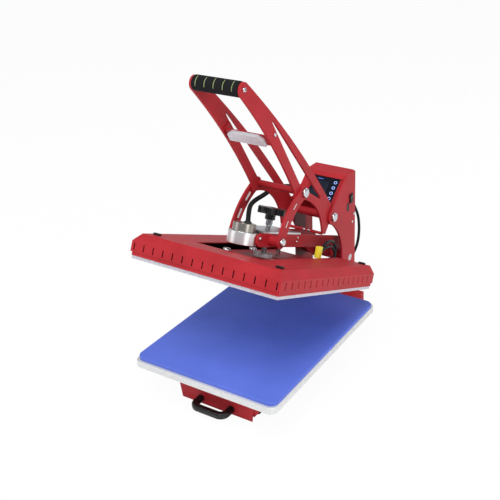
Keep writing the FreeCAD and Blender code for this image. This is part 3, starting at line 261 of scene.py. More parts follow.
# Drawer
# Carriage, sliders and rails are bent steel, and the front panel is coated sheet. The pull is a
# moulded handle of black nylon with rounded edges.
def metal(name, code, rough, brush, bump_strength=0.12, clouding=0.08):
    """Worked metal: brush gives the pattern's size in millimetres along X, Y and Z."""
    material = new_material(name)
    place = add(material, "TexCoord").outputs["Object"]
    stretch = add(material, "Mapping", {"Scale": [millimetres(size) for size in brush]},
                  Vector=place)
    lines = add(material, "TexNoise", {"Scale": 1.0, "Detail": 3}, Vector=stretch.outputs[0])
    gloss = add(material, "MapRange", {"To Min": rough - clouding, "To Max": rough + clouding},
                Value=lines.outputs["Fac"])
    soft = add(material, "MapRange", {"To Min": 0.0, "To Max": 0.35}, Value=lines.outputs["Fac"])
    tone = add(material, "MixRGB", {"Color1": linear(code), "Color2": linear("#8f8f92")},
               Fac=soft.outputs["Result"])
    bump = add(material, "Bump", {"Strength": bump_strength, "Distance": 0.0002},
               Height=lines.outputs["Fac"])
    return finish_material(material, add(
        material, "BsdfPrincipled", {"Metallic": 1.0}, Base_Color=tone.outputs["Color"],
        Roughness=gloss.outputs["Result"], Normal=bump.outputs["Normal"]))


def moulded_plastic(name, code, deep, grain, rough):
    """Moulded plastic: spark-eroded grain with a low sheen."""
    material = new_material(name)
    place = add(material, "TexCoord").outputs["Object"]
    speck = add(material, "TexNoise", {"Scale": millimetres(grain), "Detail": 3}, Vector=place)
    tone = add(material, "MixRGB", {"Color1": linear(code), "Color2": linear(deep)},
               Fac=speck.outputs["Fac"])
    bump = add(material, "Bump", {"Strength": 0.2, "Distance": 0.0002},
               Height=speck.outputs["Fac"])
    return finish_material(material, add(
        material, "BsdfPrincipled", {"Roughness": rough, "Specular IOR Level": 0.4},
        Base_Color=tone.outputs["Color"], Normal=bump.outputs["Normal"]))


zinc_steel = metal("zinc_plated_steel", "#b9bbbd", 0.38, (6, 6, 6))
dress(zinc_steel, "steel", "drawer_rails", "drawer_sliders")
eased(red_coat, "red_paint", 0.0006, "drawer_carriage", "front_panel")
black_plastic = moulded_plastic("moulded_black_nylon", "#060607", "#141517", 1.2, 0.3)
dress(black_plastic, "black_plastic", "drawer_pull")


# Table and pad
# The table is a cast aluminium slab with a bead-blasted skin. On it lies a blue silicone sponge
# sheet, 9 mm thick, with a fine woven imprint and soft edges.
def blasted_metal(name, code, spot):
    """Blasted metal: bright and finely mottled, as on cast aluminium or dull zinc plate."""
    material = new_material(name)
    place = add(material, "TexCoord").outputs["Object"]
    patch = add(material, "TexNoise", {"Scale": millimetres(5), "Detail": 6}, Vector=place)
    tone = add(material, "ValToRGB", None, Fac=patch.outputs["Fac"])
    tone.color_ramp.elements[0].position = 0.35
    tone.color_ramp.elements[0].color = linear(spot)
    tone.color_ramp.elements[1].position = 0.62
    tone.color_ramp.elements[1].color = linear(code)
    # the blasted skin is drawn at 2.5 mm, about three times its real grain
    skin = add(material, "TexNoise", {"Scale": millimetres(2.5), "Detail": 3}, Vector=place)
    bump = add(material, "Bump", {"Strength": 0.12, "Distance": 0.0003},
               Height=skin.outputs["Fac"])
    return finish_material(material, add(
        material, "BsdfPrincipled", {"Metallic": 0.6, "Roughness": 0.5},
        Base_Color=tone.outputs["Color"], Normal=bump.outputs["Normal"]))


table_metal = blasted_metal("blasted_cast_aluminium", "#e0e0de", "#d6d7d8")


# ends of an edge that are closer than this along an axis count as level
LEVEL = 0.0001


def edges_chosen(mesh, wanted):
    """Selects only the edges for which wanted(a, b) is true, by the places of their ends."""
    bpy.ops.object.mode_set(mode="EDIT")
    bpy.ops.mesh.select_mode(type="EDGE")
    bpy.ops.mesh.select_all(action="DESELECT")
    bpy.ops.object.mode_set(mode="OBJECT")
    for edge in mesh.edges:
        a, b = (mesh.vertices[i].co for i in edge.vertices)
        edge.select = wanted(a, b)
    bpy.ops.object.mode_set(mode="EDIT")


def rounded_slab(low, high, corner, edge, both):
    """A flat slab with round corners, and a small round on its top edge or on both."""
    bpy.ops.object.select_all(action="DESELECT")
    bpy.ops.mesh.primitive_cube_add(size=1, location=(low + high) / 2, scale=high - low)
    slab = bpy.context.object
    bpy.ops.object.transform_apply(location=True, rotation=False, scale=True)
    edges_chosen(slab.data, lambda a, b: abs(a.z - b.z) > LEVEL)
    bpy.ops.mesh.bevel(offset=corner, segments=8)
    bpy.ops.object.mode_set(mode="OBJECT")
    edges_chosen(slab.data, lambda a, b: min(a.z, b.z) > high.z - LEVEL
                 or both and max(a.z, b.z) < low.z + LEVEL)
    bpy.ops.mesh.bevel(offset=edge, segments=3)
    bpy.ops.object.mode_set(mode="OBJECT")
    bpy.ops.object.shade_smooth_by_angle(angle=math.radians(40))
    return slab


TABLE_CORNER = 0.018
TABLE_EDGE = 0.002
table = rounded_slab(*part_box("lower_table"), TABLE_CORNER, TABLE_EDGE, True)
fit(table, "cast_table", table_metal, "aluminium", "drawer", "lower_table")

PAD_CORNER = 0.020
PAD_EDGE = 0.0022
silicone = rounded_slab(*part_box("silicone_pad"), PAD_CORNER, PAD_EDGE, False)


def silicone_sponge(name, code, deep):
    """Silicone sponge: a dusty satin blue with a fine fabric imprint and faint stains."""
    material = new_material(name)
    place = add(material, "TexCoord").outputs["Object"]
    stain = add(material, "TexNoise", {"Scale": millimetres(120), "Detail": 5}, Vector=place)
    tone = add(material, "ValToRGB", None, Fac=stain.outputs["Fac"])
    tone.color_ramp.elements[0].position = 0.3
    tone.color_ramp.elements[0].color = linear(deep)
    tone.color_ramp.elements[1].position = 0.7
    tone.color_ramp.elements[1].color = linear(code)
    # the imprint of the curing cloth is about 0.6 mm, drawn at 2 mm
    weave = {"Scale": millimetres(2) / math.tau, "Distortion": 0.3}
    across_cloth = add(material, "TexWave", {"bands_direction": "X", **weave}, Vector=place)
    along_cloth = add(material, "TexWave", {"bands_direction": "Y", **weave}, Vector=place)
    cloth = add(material, "Math", {"operation": "MULTIPLY"}, _0=across_cloth.outputs["Fac"],
                _1=along_cloth.outputs["Fac"])
    bump = add(material, "Bump", {"Strength": 0.12, "Distance": 0.0003},
               Height=cloth.outputs[0])
    return finish_material(material, add(
        material, "BsdfPrincipled", {"Roughness": 0.5, "Specular IOR Level": 0.3},
        Base_Color=tone.outputs["Color"], Normal=bump.outputs["Normal"]))


fit(silicone, "silicone_sheet", silicone_sponge("blue_silicone_sponge", "#5c72d4", "#536ac9"),
    "silicone", "drawer", "silicone_pad")


# Columns
# Two laser-cut steel plates stand on the base in angle brackets, and carry both shafts. The right
# one has a dark slot under the switch, where wires pass, and two small screws.
eased(red_coat, "red_paint", 0.0007, "column_left", "column_right", "foot_brackets",
      "column_brace")
turned_steel = metal("turned_steel", "#c4c5c8", 0.26, (40, 1.2, 1.2))
dress(turned_steel, "steel", "lid_shaft")
bright_zinc = metal("bright_zinc_plate", "#d9dadc", 0.2, (2, 2, 2), 0.04, 0.04)


def faces_chosen(mesh, wanted):
    """Selects only the faces for which wanted(face) is true."""
    bpy.ops.object.mode_set(mode="EDIT")
    bpy.ops.mesh.select_mode(type="FACE")
    bpy.ops.mesh.select_all(action="DESELECT")
    bpy.ops.object.mode_set(mode="OBJECT")
    for face in mesh.polygons:
        face.select = wanted(face)
    bpy.ops.object.mode_set(mode="EDIT")


def button_screw(name, place, facing, radius, body):
    """A zinc-plated button screw with a socket, seated at place and facing outwards."""
    rise = 0.75 * radius
    dome, rim, socket = 0.7 * rise, 0.12 * radius, 0.5 * rise
    same_face = 1e-6
    facing = Vector(facing).normalized()
    bpy.ops.object.select_all(action="DESELECT")
    bpy.ops.mesh.primitive_cylinder_add(
        vertices=20, radius=radius, depth=rise, location=Vector(place) + facing * rise / 2,
        rotation=facing.to_track_quat("Z", "Y").to_euler())
    screw = bpy.context.object
    edges_chosen(screw.data, lambda a, b: min(a.z, b.z) > 0)
    bpy.ops.mesh.bevel(offset=dome, segments=4)
    bpy.ops.object.mode_set(mode="OBJECT")
    top = max(face.center.z for face in screw.data.polygons)
    faces_chosen(screw.data, lambda face: face.center.z > top - same_face)
    bpy.ops.mesh.inset(thickness=rim)
    bpy.ops.mesh.extrude_region_move(TRANSFORM_OT_translate={"value": -facing * socket})
    bpy.ops.object.mode_set(mode="OBJECT")
    bpy.ops.object.transform_apply(location=True, rotation=True, scale=True)
    bpy.ops.object.shade_smooth_by_angle(angle=math.radians(40))
    return fit(screw, name, bright_zinc, "steel", body)


# the left column's inner side lies in shade between the columns; a thin dark brown plate there is painted shade,
# not a known part
SHADE_LINER = Vector((0.0010, 0.060, 0.190))
SHADE_LINER_CORNER = 0.004
SHADE_LINER_PLACE = Vector((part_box("column_left")[1].x + SHADE_LINER.x / 2, 0.2350, 0.262))
bpy.ops.object.select_all(action="DESELECT")
bpy.ops.mesh.primitive_cube_add(size=1)
shade_liner = bpy.context.object
shade_liner.scale = SHADE_LINER
shade_liner.location = SHADE_LINER_PLACE
bpy.ops.object.transform_apply(location=True, rotation=False, scale=True)
edges_chosen(shade_liner.data, lambda a, b: abs(a.x - b.x) > LEVEL)
bpy.ops.mesh.bevel(offset=SHADE_LINER_CORNER, segments=4)
bpy.ops.object.mode_set(mode="OBJECT")
# its dark brown coat is painted shade
fit(shade_liner, "column_painted_shade_liner", powder_coat("painted_shade_brown_coat", "#6a1219", "#580e14"), "red_paint",
    "frame")

COLUMN_SCREW = 0.0042
COLUMN_SCREW_PLACES = ((0.2955, 0.3085), (0.2855, 0.2885))
column_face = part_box("column_right")[1].x
for number, (y, z) in enumerate(COLUMN_SCREW_PLACES, start=1):
    button_screw("column_screw_%d" % number, (column_face, y, z), (1, 0, 0), COLUMN_SCREW, "frame")

WIRE_SLOT = Vector((0.0016, 0.012, 0.025))
WIRE_SLOT_PLACE = Vector((column_face, 0.2595, 0.342))
GROMMET_CORNER = WIRE_SLOT.y * 0.4
GROMMET_RIM = 0.0016
GROMMET_DEPTH = 0.0006
bpy.ops.object.select_all(action="DESELECT")
bpy.ops.mesh.primitive_cube_add(size=1, location=WIRE_SLOT_PLACE, scale=WIRE_SLOT)
wire_slot = bpy.context.object
bpy.ops.object.transform_apply(location=True, rotation=False, scale=True)
edges_chosen(wire_slot.data, lambda a, b: abs(a.x - b.x) > LEVEL)
bpy.ops.mesh.bevel(offset=GROMMET_CORNER, segments=5)
bpy.ops.object.mode_set(mode="OBJECT")
faces_chosen(wire_slot.data, lambda face: face.normal.x > 0.9)
bpy.ops.mesh.inset(thickness=GROMMET_RIM)
bpy.ops.mesh.extrude_region_move(TRANSFORM_OT_translate={"value": (-GROMMET_DEPTH, 0, 0)})
bpy.ops.object.mode_set(mode="OBJECT")
fit(wire_slot, "wire_slot_grommet", black_plastic, "black_plastic", "frame")


# Control box and switch
# A folded steel housing with a slanted face under a visor. The face holds a dark touch glass with
# a liquid crystal window and four lit ring keys, and a black rocker switch sits in the column.
eased(red_coat, "red_paint", 0.0012, "control_box")


def dark_glass(name, code):
    """Smoked touch glass: near black, glossy, with a faint blue depth."""
    material = new_material(name)
    place = add(material, "TexCoord").outputs["Object"]
    depth = add(material, "TexNoise", {"Scale": millimetres(40), "Detail": 1}, Vector=place)
    tone = add(material, "MixRGB", {"Color1": linear(code), "Color2": linear("#0b1226")},
               Fac=depth.outputs["Fac"])
    return finish_material(material, add(
        material, "BsdfPrincipled", {"Roughness": 0.18, "Specular IOR Level": 0.25},
        Base_Color=tone.outputs["Color"]))


def lit_ink(name, code, strength):
    """Translucent ink with a light behind it: even, and slightly brighter than its colour."""
    material = new_material(name)
    place = add(material, "TexCoord").outputs["Object"]
    spread = add(material, "TexNoise", {"Scale": millimetres(6), "Detail": 1}, Vector=place)
    tone = add(material, "MixRGB", {"Color1": linear(code), "Color2": linear("#ffffff")},
               Fac=add(material, "MapRange", {"To Min": 0.0, "To Max": 0.2},
                       Value=spread.outputs["Fac"]).outputs["Result"])
    return finish_material(material, add(
        material, "BsdfPrincipled", {"Roughness": 0.3, "Emission Strength": strength},
        Base_Color=tone.outputs["Color"], Emission_Color=tone.outputs["Color"]))


touch_glass = dark_glass("smoked_touch_glass", "#060a14")
dress(touch_glass, "panel", "display_panel", "key_1", "key_2", "key_3", "key_4")


def joint_named(name):
    """The frame's row for one joint."""
    return next(joint for joint in frame["joints"] if joint["name"] == name)


press_axis = Vector(joint_named("key_1_press")["axis"])
FACE_TILT = math.atan2(press_axis.y, -press_axis.z)
face_out = -press_axis
face_up = Vector((0, math.cos(FACE_TILT), math.sin(FACE_TILT)))
RING_RADIUS = 0.0039
RING_WIRE = 0.0008
KEY_HALF = 0.002
ring_ink = lit_ink("lit_ring_ink", "#8db4ff", 0.6)
for number in range(1, 5):
    key_low, key_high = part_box("key_%d" % number)
    bpy.ops.object.select_all(action="DESELECT")
    bpy.ops.mesh.primitive_torus_add(
        location=(key_low + key_high) / 2 + face_out * KEY_HALF, rotation=(FACE_TILT, 0, 0),
        major_radius=RING_RADIUS, minor_radius=RING_WIRE, major_segments=32, minor_segments=8)
    ring = bpy.context.object
    bpy.ops.object.transform_apply(location=True, rotation=True, scale=True)
    bpy.ops.object.shade_smooth()
    fit(ring, "key_ring_%d" % number, ring_ink, "panel", "key_%d" % number)

glass_low, glass_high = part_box("display_panel")
glass_span = glass_high - glass_low
square = math.cos(FACE_TILT) ** 2 - math.sin(FACE_TILT) ** 2
glass_length = (glass_span.y * face_up.y - glass_span.z * face_up.z) / square
glass_thick = (glass_span.z * face_up.y - glass_span.y * face_up.z) / square
glass_foot = glass_low + Vector((0, 0, glass_thick * face_up.y))


def on_glass(aside, rise, size_x, size_up, name, material):
    """A thin rounded plate on the glass, aside and above the glass's lower left corner."""
    lift, thick = 0.0002, 0.0006
    corner = min(size_x, size_up) * 0.12
    middle = glass_foot + Vector((aside, 0, 0)) + face_up * rise + face_out * lift
    bpy.ops.object.select_all(action="DESELECT")
    bpy.ops.mesh.primitive_cube_add(size=1, scale=(size_x, size_up, thick))
    plate = bpy.context.object
    bpy.ops.object.transform_apply(location=False, rotation=False, scale=True)
    edges_chosen(plate.data, lambda a, b: abs(a.z - b.z) > LEVEL)
    bpy.ops.mesh.bevel(offset=corner, segments=3)
    bpy.ops.object.mode_set(mode="OBJECT")
    plate.location = middle
    plate.rotation_euler = (FACE_TILT, 0, 0)
    bpy.ops.object.transform_apply(location=True, rotation=True, scale=True)
    return fit(plate, name, material, "panel", "frame")


crystal = dark_glass("liquid_crystal_window", "#2b3036")
blue_light = lit_ink("lit_blue_segment", "#2b49b8", 0.2)
CRYSTAL_WINDOW = (0.030, 0.034, 0.044, 0.050)
STATUS_LIGHT = (0.022, 0.0655, 0.016, 0.0022)
on_glass(*CRYSTAL_WINDOW, "crystal_window", crystal)
on_glass(*STATUS_LIGHT, "status_light", blue_light)
dress(black_plastic, "black_plastic", "switch_bezel", "rocker")

BEAD_MARGIN = 0.0055
BEAD_WIDTH = 0.0013
BEAD_RISE = 0.0016
bpy.ops.object.select_all(action="DESELECT")
bpy.ops.mesh.primitive_plane_add(size=1)
bead = bpy.context.object
bead.scale = (glass_span.x + 2 * BEAD_MARGIN, glass_length + 2 * BEAD_MARGIN, 1)
bpy.ops.object.transform_apply(location=False, rotation=False, scale=True)
bpy.ops.object.mode_set(mode="EDIT")
bpy.ops.mesh.select_all(action="SELECT")
bpy.ops.mesh.bevel(offset=BEAD_MARGIN, segments=5, affect="VERTICES")
bpy.ops.mesh.select_all(action="SELECT")
bpy.ops.mesh.inset(thickness=BEAD_WIDTH)
bpy.ops.mesh.delete(type="FACE")
bpy.ops.object.mode_set(mode="OBJECT")
bead_wall = bead.modifiers.new("wall", "SOLIDIFY")
bead_wall.thickness = BEAD_RISE
bead_wall.offset = 0
bpy.ops.object.modifier_apply(modifier="wall")
bead.rotation_euler = (FACE_TILT, 0, 0)
bead.location = glass_foot + Vector((glass_span.x / 2, 0, 0)) + face_up * glass_length / 2
bpy.ops.object.transform_apply(location=True, rotation=True, scale=True)
fit(bead, "fascia_bead", red_coat, "red_paint", "frame")


# Lid
# Two side bars on a tube that turns on the lid shaft, tied by a bright top plate. The round
# electromagnet hangs at their front end: a turned steel body under a knurled coil housing.
eased(red_coat, "red_paint", 0.0007, "beam_left", "beam_right", "magnet_bracket")
dress(red_coat, "red_paint", "lid_tube", "link_spacer_left", "link_spacer_right")
milled_aluminium = metal("milled_aluminium", "#dfe0e2", 0.34, (3, 40, 3))
eased(milled_aluminium, "aluminium", 0.0006, "beam_bridge", "nut_block")
turned_aluminium = metal("turned_aluminium", "#f6f6f6", 0.34, (30, 30, 1.6), 0.2)
eased(turned_aluminium, "aluminium", 0.0010, "magnet_body")
turned_nickel = metal("turned_nickel_steel", "#a39d94", 0.28, (30, 30, 1.6), 0.2)
eased(turned_nickel, "steel", 0.0008, "magnet_coil")
dress(black_plastic, "black_plastic", "guide_bush")

# each screw's place along Y and Z, and its radius
BEAM_SCREWS = ((-0.1258, 0.4057, 0.0045), (0.0431, 0.3350, 0.0032),
               (0.0359, 0.3273, 0.0032), (0.1999, 0.2511, 0.0050))
beam_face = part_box("beam_right")[1].x
for number, (y, z, radius) in enumerate(BEAM_SCREWS, start=1):
    button_screw("beam_screw_right_%d" % number, (beam_face, y, z), (1, 0, 0), radius, "lid")
    button_screw("beam_screw_left_%d" % number, (-beam_face, y, z), (-1, 0, 0), radius, "lid")


# Hose and cables
# A ribbed hose leads the magnet's wires past the left arm to the control box, and black cables
# feed the heater. They are held at both ends, and are drawn as fixed pieces that don't bend with the lid.
def joint_pivot(name):
    """The point that a joint turns about."""
    return Vector(joint_named(name)["pos_m"])


lid_pivot = joint_pivot("lid_hinge")
lid_travel = math.radians(joint_named("lid_hinge")["range_deg"][1])
# pieces drawn with the lid shut are opened by this, and the frame's rest pose is open
lid_opening = Matrix.Translation(lid_pivot) @ Matrix.Rotation(
    -lid_travel, 4, "X") @ Matrix.Translation(-lid_pivot)
lid_up = lid_opening.to_3x3() @ Vector((0, 0, 1))


def smooth_line(points, step):
    """Even points along the smooth curve that a cable's route controls."""
    curve = bpy.data.curves.new("route", "CURVE")
    curve.dimensions = "3D"
    spline = curve.splines.new("NURBS")
    spline.points.add(len(points) - 1)
    for control, point in zip(spline.points, points):
        control.co = (*point, 1)
    spline.order_u = 3
    spline.use_endpoint_u = True
    spline.resolution_u = 24
    holder = bpy.data.objects.new("route", curve)
    bpy.context.scene.collection.objects.link(holder)
    drawn = bpy.data.meshes.new_from_object(holder)
    line = [vertex.co.copy() for vertex in drawn.vertices]
    bpy.data.objects.remove(holder)
    even = [line[0]]
    left = step
    for start, end in zip(line, line[1:]):
        gap = (end - start).length
        while left <= gap:
            even.append(start.lerp(end, left / gap))
            left += step
        left -= gap
    return even


def tube_along(line, radius_at, sides=16):
    """A closed tube along a line, whose radius is radius_at(number of the ring)."""
    heading = (line[1] - line[0]).normalized()
    side = heading.orthogonal().normalized()
    corners = []
    for number, point in enumerate(line):
        ahead = line[min(number + 1, len(line) - 1)] - line[max(number - 1, 0)]
        ahead.normalize()
        side = (side - ahead * side.dot(ahead)).normalized()
        across = ahead.cross(side)
        for step in range(sides):
            turn = math.tau * step / sides
            corners.append(point + (side * math.cos(turn) + across * math.sin(turn))
                           * radius_at(number))
    faces = [(ring * sides + step, ring * sides + (step + 1) % sides,
              (ring + 1) * sides + (step + 1) % sides, (ring + 1) * sides + step)
             for ring in range(len(line) - 1) for step in range(sides)]
    faces.append(tuple(reversed(range(sides))))
    faces.append(tuple(range((len(line) - 1) * sides, len(line) * sides)))
    mesh = bpy.data.meshes.new("tube")
    mesh.from_pydata(corners, [], faces)
    tube = bpy.data.objects.new("tube", mesh)
    bpy.context.scene.collection.objects.link(tube)
    bpy.ops.object.select_all(action="DESELECT")
    bpy.context.view_layer.objects.active = tube
    tube.select_set(True)
    bpy.ops.object.shade_smooth()
    return tube


def bent_piece(piece, name, material, slot, bodies, start, end, *replaced):
    """Finishes a hose or cable, drawn as one fixed piece."""
    piece.name = name
    piece.data.materials.append(material)
    if replaced:
        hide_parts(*replaced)
    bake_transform(piece)


HOSE_RADIUS = 0.006
HOSE_RIB = 0.0006
HOSE_STEP = 0.0015
hose_route = [(0, -0.1118, 0.4348), (-0.007, -0.098, 0.454), (-0.046, -0.030, 0.444),
              (-0.054, 0.050, 0.436), (-0.097, 0.135, 0.408), (-0.101, 0.216, 0.390),
              (-0.059, 0.2621, 0.377)]
hose_line = smooth_line(hose_route, HOSE_STEP)
hose_rubber = soft_rubber("ribbed_hose_rubber", "#0d0d0e", 1.5, 0.55)
bent_piece(tube_along(hose_line, lambda ring: HOSE_RADIUS - HOSE_RIB * (ring % 2)),
           "magnet_hose_ribbed", hose_rubber, "rubber", ("lid", "frame"), hose_route[1],
           hose_route[-1], "magnet_hose")

CABLE_RADIUS = 0.004
CABLE_STEP = 0.004
CABLE_FOOT = Vector((0.054, 0.157, 0.1512))
cable_end = lid_opening @ CABLE_FOOT
cable_route = [(0.046, 0.3091, 0.356), (0.070, 0.3211, 0.315), (0.074, 0.3321, 0.250),
               (0.072, 0.3211, 0.192), (0.054, 0.3031, 0.150), (0.054, 0.2751, 0.118),
               (0.054, 0.2191, 0.118), (0.054, 0.1851, 0.1883), tuple(cable_end)]
cable_rubber = soft_rubber("smooth_cable_rubber", "#0a0a0b", 1.5, 0.5)
bent_piece(tube_along(smooth_line(cable_route, CABLE_STEP), lambda ring: CABLE_RADIUS),
           "heater_cable_jacket", cable_rubber, "rubber", ("frame", "lid"), cable_route[5],
           cable_route[7], "heater_cable")


GLAND_EDGE = 0.0015


def cable_gland(name, place, facing, body, radius=0.009, length=0.012):
    """A moulded gland: a hexagon nut with a rounded collar, where a cable leaves a wall."""
    facing = Vector(facing).normalized()
    for part, sides, reach, width in (("nut", 6, (0, 0.55), 1.08),
                                      ("collar", 24, (0.55, 1), 0.85)):
        bpy.ops.object.select_all(action="DESELECT")
        bpy.ops.mesh.primitive_cylinder_add(
            vertices=sides, radius=radius * width, depth=length * (reach[1] - reach[0]),
            location=Vector(place) + facing * length * sum(reach) / 2,
            rotation=facing.to_track_quat("Z", "Y").to_euler())
        gland = bpy.context.object
        edges_chosen(gland.data, lambda a, b: min(a.z, b.z) > 0)
        bpy.ops.mesh.bevel(offset=GLAND_EDGE, segments=3)
        bpy.ops.object.mode_set(mode="OBJECT")
        bpy.ops.object.transform_apply(location=True, rotation=True, scale=True)
        bpy.ops.object.shade_smooth_by_angle(angle=math.radians(40))
        fit(gland, name + "_" + part, black_plastic, "black_plastic", body)


COIL_TOP = Vector((0, -0.1820, 0.2532))
box_low, box_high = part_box("control_box")
cable_gland("hose_gland", (box_low.x, 0.2671, 0.377), (-1, 0, 0), "frame")
cable_gland("cable_gland", (0.044, box_high.y, 0.356), (0, 1, 0), "frame")
cable_gland("coil_gland", lid_opening @ COIL_TOP, lid_up, "lid", length=0.005)


# Platen
# A cast heater plate of aluminium under a slotted cover, folded from steel sheet. Zinc-plated
# hardware holds it to the screw.
eased(blasted_metal("ground_cast_aluminium", "#d3d1d8", "#bfbcc8"), "aluminium", 0.0008,
      "heater_plate")
eased(red_coat, "red_paint", 0.0006, "platen_cover")

# the cover's lower hem is a tray under its walls, set in by 2 mm
HEM_HEIGHT = 0.0085
HEM_INSET = 0.0021
HEM_SHEET = 0.0012
HEM_OVERLAP = 0.0012
COVER_FOOT = 0.002
BAND_CORNER = 0.003
cover = bpy.data.objects["platen_cover_finished"]
cover.data.transform(lid_opening.inverted())
cover_low = Vector([min(vertex.co[axis] for vertex in cover.data.vertices) for axis in range(3)])
cover_high = Vector([max(vertex.co[axis] for vertex in cover.data.vertices) for axis in range(3)])
bpy.ops.object.select_all(action="DESELECT")
bpy.context.view_layer.objects.active = cover
cover.select_set(True)
bpy.ops.object.mode_set(mode="EDIT")
bpy.ops.mesh.select_mode(type="VERT")
bpy.ops.mesh.select_all(action="DESELECT")
bpy.ops.object.mode_set(mode="OBJECT")
for vertex in cover.data.vertices:
    vertex.select = vertex.co.z < cover_low.z + COVER_FOOT
bpy.ops.object.mode_set(mode="EDIT")
bpy.ops.transform.translate(value=(0, 0, HEM_HEIGHT))
bpy.ops.object.mode_set(mode="OBJECT")
cover.data.transform(lid_opening)


def band_within(inset, foot, height, sheet):
    """An upright band of sheet round the inside of the cover, drawn with the lid shut."""
    bpy.ops.object.select_all(action="DESELECT")
    bpy.ops.mesh.primitive_cube_add(size=1)
    band = bpy.context.object
    band.scale = (cover_high.x - cover_low.x - 2 * inset,
                  cover_high.y - cover_low.y - 2 * inset, height)
    band.location = ((cover_low.x + cover_high.x) / 2, (cover_low.y + cover_high.y) / 2,
                     cover_low.z + foot + height / 2)
    bpy.ops.object.transform_apply(location=True, rotation=False, scale=True)
    faces_chosen(band.data, lambda face: abs(face.normal.z) > 0.9)
    bpy.ops.mesh.delete(type="FACE")
    bpy.ops.object.mode_set(mode="OBJECT")
    edges_chosen(band.data, lambda a, b: abs(a.z - b.z) > LEVEL)
    bpy.ops.mesh.bevel(offset=BAND_CORNER, segments=4)
    bpy.ops.object.mode_set(mode="OBJECT")
    wall = band.modifiers.new("wall", "SOLIDIFY")
    wall.thickness = sheet
    wall.offset = -1
    bpy.ops.object.modifier_apply(modifier="wall")
    band.data.transform(lid_opening)
    return band


fit(band_within(HEM_INSET, 0, HEM_HEIGHT + HEM_OVERLAP, HEM_SHEET), "cover_hem", red_coat,
    "red_paint", "platen")
# a dark band behind the walls is painted shade, which darkens their slots
WRAP_INSET = 0.0045
WRAP_HEIGHT = 0.018
WRAP_GAP = 0.0014
painted_shade_steel = metal("painted_shade_dark_steel", "#1c1c1e", 0.6, (8, 30, 8))
fit(band_within(WRAP_INSET, HEM_HEIGHT + WRAP_GAP, WRAP_HEIGHT, HEM_SHEET), "painted_shade_wrap",
    painted_shade_steel, "dark_paint", "platen")

# a yellow moulded junction stands behind the right beam, and two black leads leave it rearwards
JUNCTION = Vector((0.012, 0.019, 0.030))
JUNCTION_EDGE = 0.0012
JUNCTION_PLACE = Vector((0.090, 0.0365, cover_high.z + 0.015))
bpy.ops.object.select_all(action="DESELECT")
bpy.ops.mesh.primitive_cube_add(size=1, scale=JUNCTION)
junction = bpy.context.object
bpy.ops.object.transform_apply(location=False, rotation=False, scale=True)
edges_chosen(junction.data, lambda a, b: True)
bpy.ops.mesh.bevel(offset=JUNCTION_EDGE, segments=3)
bpy.ops.object.mode_set(mode="OBJECT")
bpy.ops.object.shade_smooth_by_angle(angle=math.radians(40))
junction.data.transform(lid_opening @ Matrix.Translation(JUNCTION_PLACE))
yellow_plastic = moulded_plastic("moulded_yellow_nylon", "#f8ea3a", "#eedd30", 1.2, 0.5)
fit(junction, "lead_junction", yellow_plastic, None, "platen")

LEAD_RADIUS = 0.0040
for number, (rise, drop) in enumerate(((0.038, 0.020), (0.024, 0.012)), start=1):
    lead_route = [lid_opening @ Vector((x, y, cover_high.z + z)) for x, y, z in (
        (0.090, 0.044, 0.008), (0.088, 0.066, rise), (0.076, 0.120, rise + 0.004),
        (0.0615, 0.170, rise), (0.0615, 0.202, rise - 0.024), (0.0615, 0.185, -drop),
        (0.0615, 0.158, -drop))]
    lead = tube_along(smooth_line(lead_route, CABLE_STEP), lambda ring: LEAD_RADIUS)
    fit(lead, "rear_lead_%d" % number, cable_rubber, "rubber", "platen")

eased(black_plastic, "black_plastic", 0.0012, "corner_caps")
# the heat shield's near-black finish is painted shade, which darkens the inside of the cover
dress(painted_shade_steel, "dark_paint", "heat_shield")
eased(red_coat, "red_paint", 0.0006, "mounting_plate")
bright_chrome = metal("bright_chrome", "#d6d7da", 0.12, (4, 4, 4), 0.03, 0.04)
dress(bright_chrome, "chrome", "dome_nuts", "guide_rod")
dress(blasted_metal("ground_zinc_plate", "#dcdddf", "#c9cacc"), "chrome", "screw_flange")
dress(zinc_steel, "steel", "standoffs")


# Screw and knob
# A turned steel screw runs in the nut block, and its thread isn't cut here. A moulded lobed knob
# is pressed on its end over a collar, which a set screw locks.
eased(black_plastic, "black_plastic", 0.0045, "knob")
dress(metal("turned_screw_steel", "#85888c", 0.3, (30, 30, 2)), "chrome", "pressure_screw")
knob_axis = joint_pivot("knob_turn")
COLLAR_HEIGHT = 0.0865
COLLAR_RADIUS = 0.0085
SET_SCREW = 0.0022
toward_camera = Vector((math.sin(math.radians(CAMERA_AZIMUTH)),
                        -math.cos(math.radians(CAMERA_AZIMUTH)), 0))
button_screw("collar_set_screw", knob_axis + lid_up * COLLAR_HEIGHT
             + toward_camera * COLLAR_RADIUS, toward_camera, SET_SCREW, "screw")


# Handle
# Two plate arms with a round bar at the knee, a round grip in foam and a steel armature, which
# the magnet holds when the press is shut.
eased(red_coat, "red_paint", 0.0007, "arm_left", "arm_right", "armature_bracket")
# the openings reach nearer to the grip than the rounded points of the CAD's
OPENING_ROUND = Vector((0, -0.0679, 0.6557))
ROUND_REACH = 0.0039
OPENING_MOVE = Vector((0, -0.0208, 0.0306))
for side_name in ("left", "right"):
    arm = bpy.data.objects["arm_%s_finished" % side_name]
    bpy.ops.object.select_all(action="DESELECT")
    bpy.context.view_layer.objects.active = arm
    arm.select_set(True)
    bpy.ops.object.mode_set(mode="EDIT")
    bpy.ops.mesh.select_mode(type="VERT")
    bpy.ops.mesh.select_all(action="DESELECT")
    bpy.ops.object.mode_set(mode="OBJECT")
    for vertex in arm.data.vertices:
        aside = math.hypot(vertex.co.y - OPENING_ROUND.y, vertex.co.z - OPENING_ROUND.z)
        vertex.select = aside < ROUND_REACH
    bpy.ops.object.mode_set(mode="EDIT")
    bpy.ops.transform.translate(value=OPENING_MOVE)
    bpy.ops.object.mode_set(mode="OBJECT")

